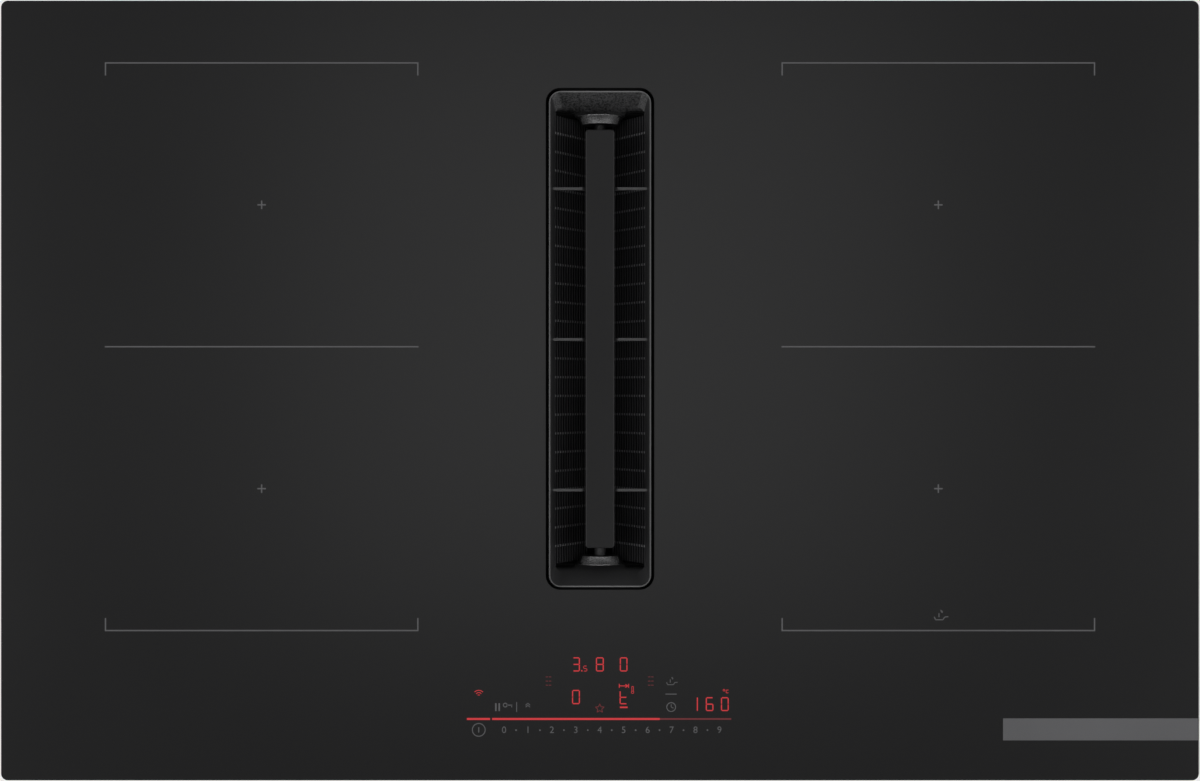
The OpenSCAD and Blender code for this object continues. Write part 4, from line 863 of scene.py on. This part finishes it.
def writeFigure(text, px, py, size):
    x, y = toGlass(px, py)
    deselectAll()
    bpy.ops.object.text_add(location=(x * mm, y * mm, glassTop * mm))
    label = bpy.context.object
    label.data.body = text
    label.data.size = size * display["pixel"] * mm * display["textScale"]
    label.data.align_x = "CENTER"
    label.data.align_y = "CENTER"
    label.data.extrude = display["height"] / 2 * mm
    label.data.resolution_u = 4
    bpy.ops.object.convert(target="MESH")
    label = bpy.context.object
    label.location.z += display["height"] / 2 * mm
    settle()
    return label


# figure, left, right, top, bottom
figures = (
    ("3", 572.6, 579.9, 657.4, 671.6), ("8", 595.9, 603.8, 657.4, 671.6), ("0", 619.8, 627.5, 657.4, 671.6),
    ("0", 572.0, 579.9, 690.0, 704.3), ("6", 705.8, 713.5, 697.3, 711.2), ("0", 721.0, 728.8, 697.3, 711.2),
    ("t", 619.6, 627.3, 690.5, 704.4))
pointFigure = ("5", 583.3, 587.2, 665.8, 671.5)
oneStroke = (697.4, 697.6, 697.4, 711.0)
# a bar is left, top, right, bottom; a stroke two ends and a width; a ring a place, radius, width and sides
litBars = ((581.2, 670.2, 582.4, 671.6), (619.9, 706.7, 627.6, 708.2),
           (466.8, 718.1, 490.0, 720.1), (492.1, 718.1, 659.8, 720.1))
litStrokes = (
    (619.3, 683.9, 619.3, 688.0, 0.8), (628.6, 683.9, 628.6, 688.0, 0.8), (619.3, 686.0, 628.0, 686.0, 0.8),
    (625.4, 684.4, 627.8, 686.0, 0.8), (625.4, 687.6, 627.8, 686.0, 0.8), (631.8, 686.6, 631.8, 691.2, 0.5),
    (633.4, 686.6, 633.4, 691.2, 0.5), (631.8, 686.6, 633.4, 686.6, 0.5), (726.2, 690.2, 728.6, 690.2, 0.6),
    (726.2, 690.2, 726.2, 693.0, 0.6), (726.2, 693.0, 728.6, 693.0, 0.6))
litRings = ((632.6, 692.4, 1.2, 0.5, 16), (724.0, 690.3, 0.9, 0.5, 16))
waves = {"at": (478.7, 696.4), "radii": (1.4, 3.7, 6.0), "from": 45, "turn": 22.5, "parts": 4, "width": 0.7}
dashes = {"columns": (545.6, 548.8, 648.0, 651.2), "rows": (677.0, 681.2, 685.3), "length": 2.4,
          "width": 0.7}
star = {"at": (599.75, 708.6), "radii": (4.7, 2.1), "width": 0.7}
dimBar = (659.8, 718.3, 731.3, 719.9)


def makeLitMarks():
    bright = []
    for figure in figures:
        bright += sevenSegment(*figure, display["stroke"])
    bright += sevenSegment(*pointFigure, display["pointStroke"])
    bright.append(stroke2d(*oneStroke, display["stroke"]))
    bright += [bar2d(*b) for b in litBars]
    bright += [stroke2d(*s) for s in litStrokes]
    bright += [ring2d(*r) for r in litRings]
    x, y = waves["at"]
    turns = [radians(waves["from"] + waves["turn"] * i) for i in range(waves["parts"] + 1)]
    for r in waves["radii"]:
        spots = [(x + r * cos(t), y - r * sin(t)) for t in turns]
        bright += [stroke2d(*a, *b, waves["width"]) for a, b in zip(spots, spots[1:])]
    finishPiece(joinAll("litFigures", *bright), "root", "screen_print", redLight)

    dim = [bar2d(*dimBar)]
    for column in dashes["columns"]:
        dim += [stroke2d(column, row, column + dashes["length"], row, dashes["width"])
                for row in dashes["rows"]]
    x, y = star["at"]
    tips = [(x + r * sin(radians(36 * i)), y - r * cos(radians(36 * i)))
            for i, r in enumerate(star["radii"] * 5)]
    dim += [stroke2d(*a, *b, star["width"]) for a, b in zip(tips, tips[1:] + tips[:1])]
    finishPiece(joinAll("dimFigures", *dim), "root", "screen_print", dimRedLight)


# a small pan with a handle and steam: two ends of each stroke, in its own grid
panLines = ((0.6, 6.4, 1.6, 8.8), (1.6, 8.8, 7.4, 8.8), (7.4, 8.8, 8.8, 6.6), (8.8, 6.6, 11.6, 6.4),
            (4.3, 3.6, 4.3, 6.8), (5.6, 1.2, 7.2, 2.6), (5.8, 2.0, 7.0, 3.4))
pans = ((666.0, 676.0, 1.0), (933.6, 608.6, 1.28))  # left, top, scale
greyBars = (
    (495.0, 703.3, 496.6, 711.2), (498.4, 703.3, 500.0, 711.2), (507.0, 704.8, 512.3, 705.7),
    (511.2, 705.2, 512.1, 707.4), (516.2, 702.3, 517.0, 712.2), (665.5, 693.8, 676.8, 694.7))
greyStrokes = (
    (525.7, 705.3, 527.85, 703.4, 0.8), (527.85, 703.4, 530.0, 705.3, 0.8),
    (525.7, 707.3, 527.85, 705.4, 0.8), (527.85, 705.4, 530.0, 707.3, 0.8),
    (671.2, 704.4, 671.2, 707.2, 0.8), (671.2, 707.2, 673.4, 708.2, 0.8))
greyRings = ((505.2, 705.2, 1.9, 0.9, 24), (671.2, 707.2, 4.4, 0.9, 32))
scaleDot = (0.45, 0.85, 12)  # radius, width, sides
powerRing = (478.7, 730.0, 6.4, 0.9, 48)
powerBar = (478.2, 727.4, 479.2, 732.6)


def panMark(px, py, scale):
    return [stroke2d(px + x0 * scale, py + y0 * scale, px + x1 * scale, py + y1 * scale, 0.75 * scale)
            for x0, y0, x1, y1 in panLines]


def makeGreyMarks():
    start, step, y = display["digitStart"], display["digitStep"], display["digitY"]
    grey = [writeFigure(str(n), start + step * n, y, display["digitSize"]) for n in range(10)]
    grey += [ring2d(start + step * (n + 0.5), y, *scaleDot) for n in range(9)]
    grey += [bar2d(*b) for b in greyBars]
    grey += [stroke2d(*s) for s in greyStrokes]
    grey += [ring2d(*r) for r in greyRings]
    for pan in pans:
        grey += panMark(*pan)
    finishPiece(joinAll("greyPrints", *grey), "root", "screen_print", materials["screen_print"])
    power = joinAll("powerMark", ring2d(*powerRing), bar2d(*powerBar))
    finishPiece(power, "root", "screen_print", materials["screen_print"])


makeLitMarks()
makeGreyMarks()
print("display done")

# lengths in metres; the floor lies under the lowest part, and the eye looks straight down
studio = {"floor": {"z": -0.2185, "size": 60, "tone": "#e9e9e8", "rough": 0.9, "glow": 0.6},
          "eye": {"height": 1.605, "lens": 71.7, "sensor": 36, "near": 0.05, "far": 50},
          "world": 0.17,
          "top": {"size": (1.15, 1.15), "height": 2.6, "y": 0.16, "power": 2.3},
          "sides": {"size": (1.6, 3.0), "far": 2.6, "height": 1.7, "power": 42.0},
          "ends": {"size": (3.0, 1.2), "far": 2.4, "height": 1.9, "front": 16.0, "rear": 12.0}}
white = (1, 1, 1, 1)


def makeFloor():
    # pale paper that looks almost white to the eye, but throws only its own share of light on the object
    f = studio["floor"]
    deselectAll()
    bpy.ops.mesh.primitive_plane_add(size=f["size"], location=(0, 0, f["z"]))
    floor = bpy.context.object
    floor.name = "floor"
    material, tree, shader = newMaterial("pale_paper_floor")
    shader.inputs["Base Color"].default_value = srgb(f["tone"])
    shader.inputs["Roughness"].default_value = f["rough"]
    seen = addNode(tree, "ShaderNodeLightPath").outputs["Is Camera Ray"]
    glow = addNode(tree, "ShaderNodeEmission", inputs={"Color": white, "Strength": 1.0}).outputs["Emission"]
    part = addNode(tree, "ShaderNodeMath", {"operation": "MULTIPLY"}, {0: seen, 1: f["glow"]})
    mixed = addNode(tree, "ShaderNodeMixShader", inputs={
        0: part.outputs["Value"], 1: shader.outputs["BSDF"], 2: glow})
    tree.links.new(mixed.outputs["Shader"], tree.nodes["Material Output"].inputs["Surface"])
    floor.data.materials.append(material)


def makeWorld():
    # white behind the object, and a weak even light on it
    world = bpy.data.worlds.new("studioWorld")
    bpy.context.scene.world = world
    world.use_nodes = True
    tree = world.node_tree
    seen = addNode(tree, "ShaderNodeLightPath").outputs["Is Camera Ray"]
    base = tree.nodes["Background"]
    base.inputs["Color"].default_value = white
    base.inputs["Strength"].default_value = studio["world"]
    backdrop = addNode(tree, "ShaderNodeBackground", inputs={"Color": white, "Strength": 1.0})
    mixed = addNode(tree, "ShaderNodeMixShader", inputs={
        0: seen, 1: base.outputs["Background"], 2: backdrop.outputs["Background"]})
    tree.links.new(mixed.outputs["Shader"], tree.nodes["World Output"].inputs["Surface"])


def softBox(name, place, size, power):
    # a lit rectangle that faces the middle of the glass; power in watts
    light = bpy.data.lights.new(name, "AREA")
    light.shape = "RECTANGLE"
    light.size, light.size_y = size
    light.energy = power
    lamp = bpy.data.objects.new(name, light)
    bpy.context.scene.collection.objects.link(lamp)
    lamp.location = place
    lamp.rotation_euler = (-Vector(place)).to_track_quat("-Z", "Y").to_euler()


def makeLights():
    top, sides, ends = studio["top"], studio["sides"], studio["ends"]
    softBox("overhead", (0, top["y"], top["height"]), top["size"], top["power"])
    for s, end in ((-1, "front"), (1, "rear")):
        softBox("sideBox", (s * sides["far"], 0, sides["height"]), sides["size"], sides["power"])
        softBox("endBox", (0, s * ends["far"], ends["height"]), ends["size"], ends[end])


def makeCamera():
    e = studio["eye"]
    camera = bpy.data.cameras.new("camera")
    camera.lens = e["lens"]
    camera.sensor_width = e["sensor"]
    camera.clip_start = e["near"]
    camera.clip_end = e["far"]
    eye = bpy.data.objects.new("camera", camera)
    bpy.context.scene.collection.objects.link(eye)
    eye.location = (0, 0, e["height"])
    bpy.context.scene.camera = eye


makeFloor()
makeWorld()
makeLights()
makeCamera()
bpy.context.scene.view_settings.view_transform = "Standard"
print("studio done")
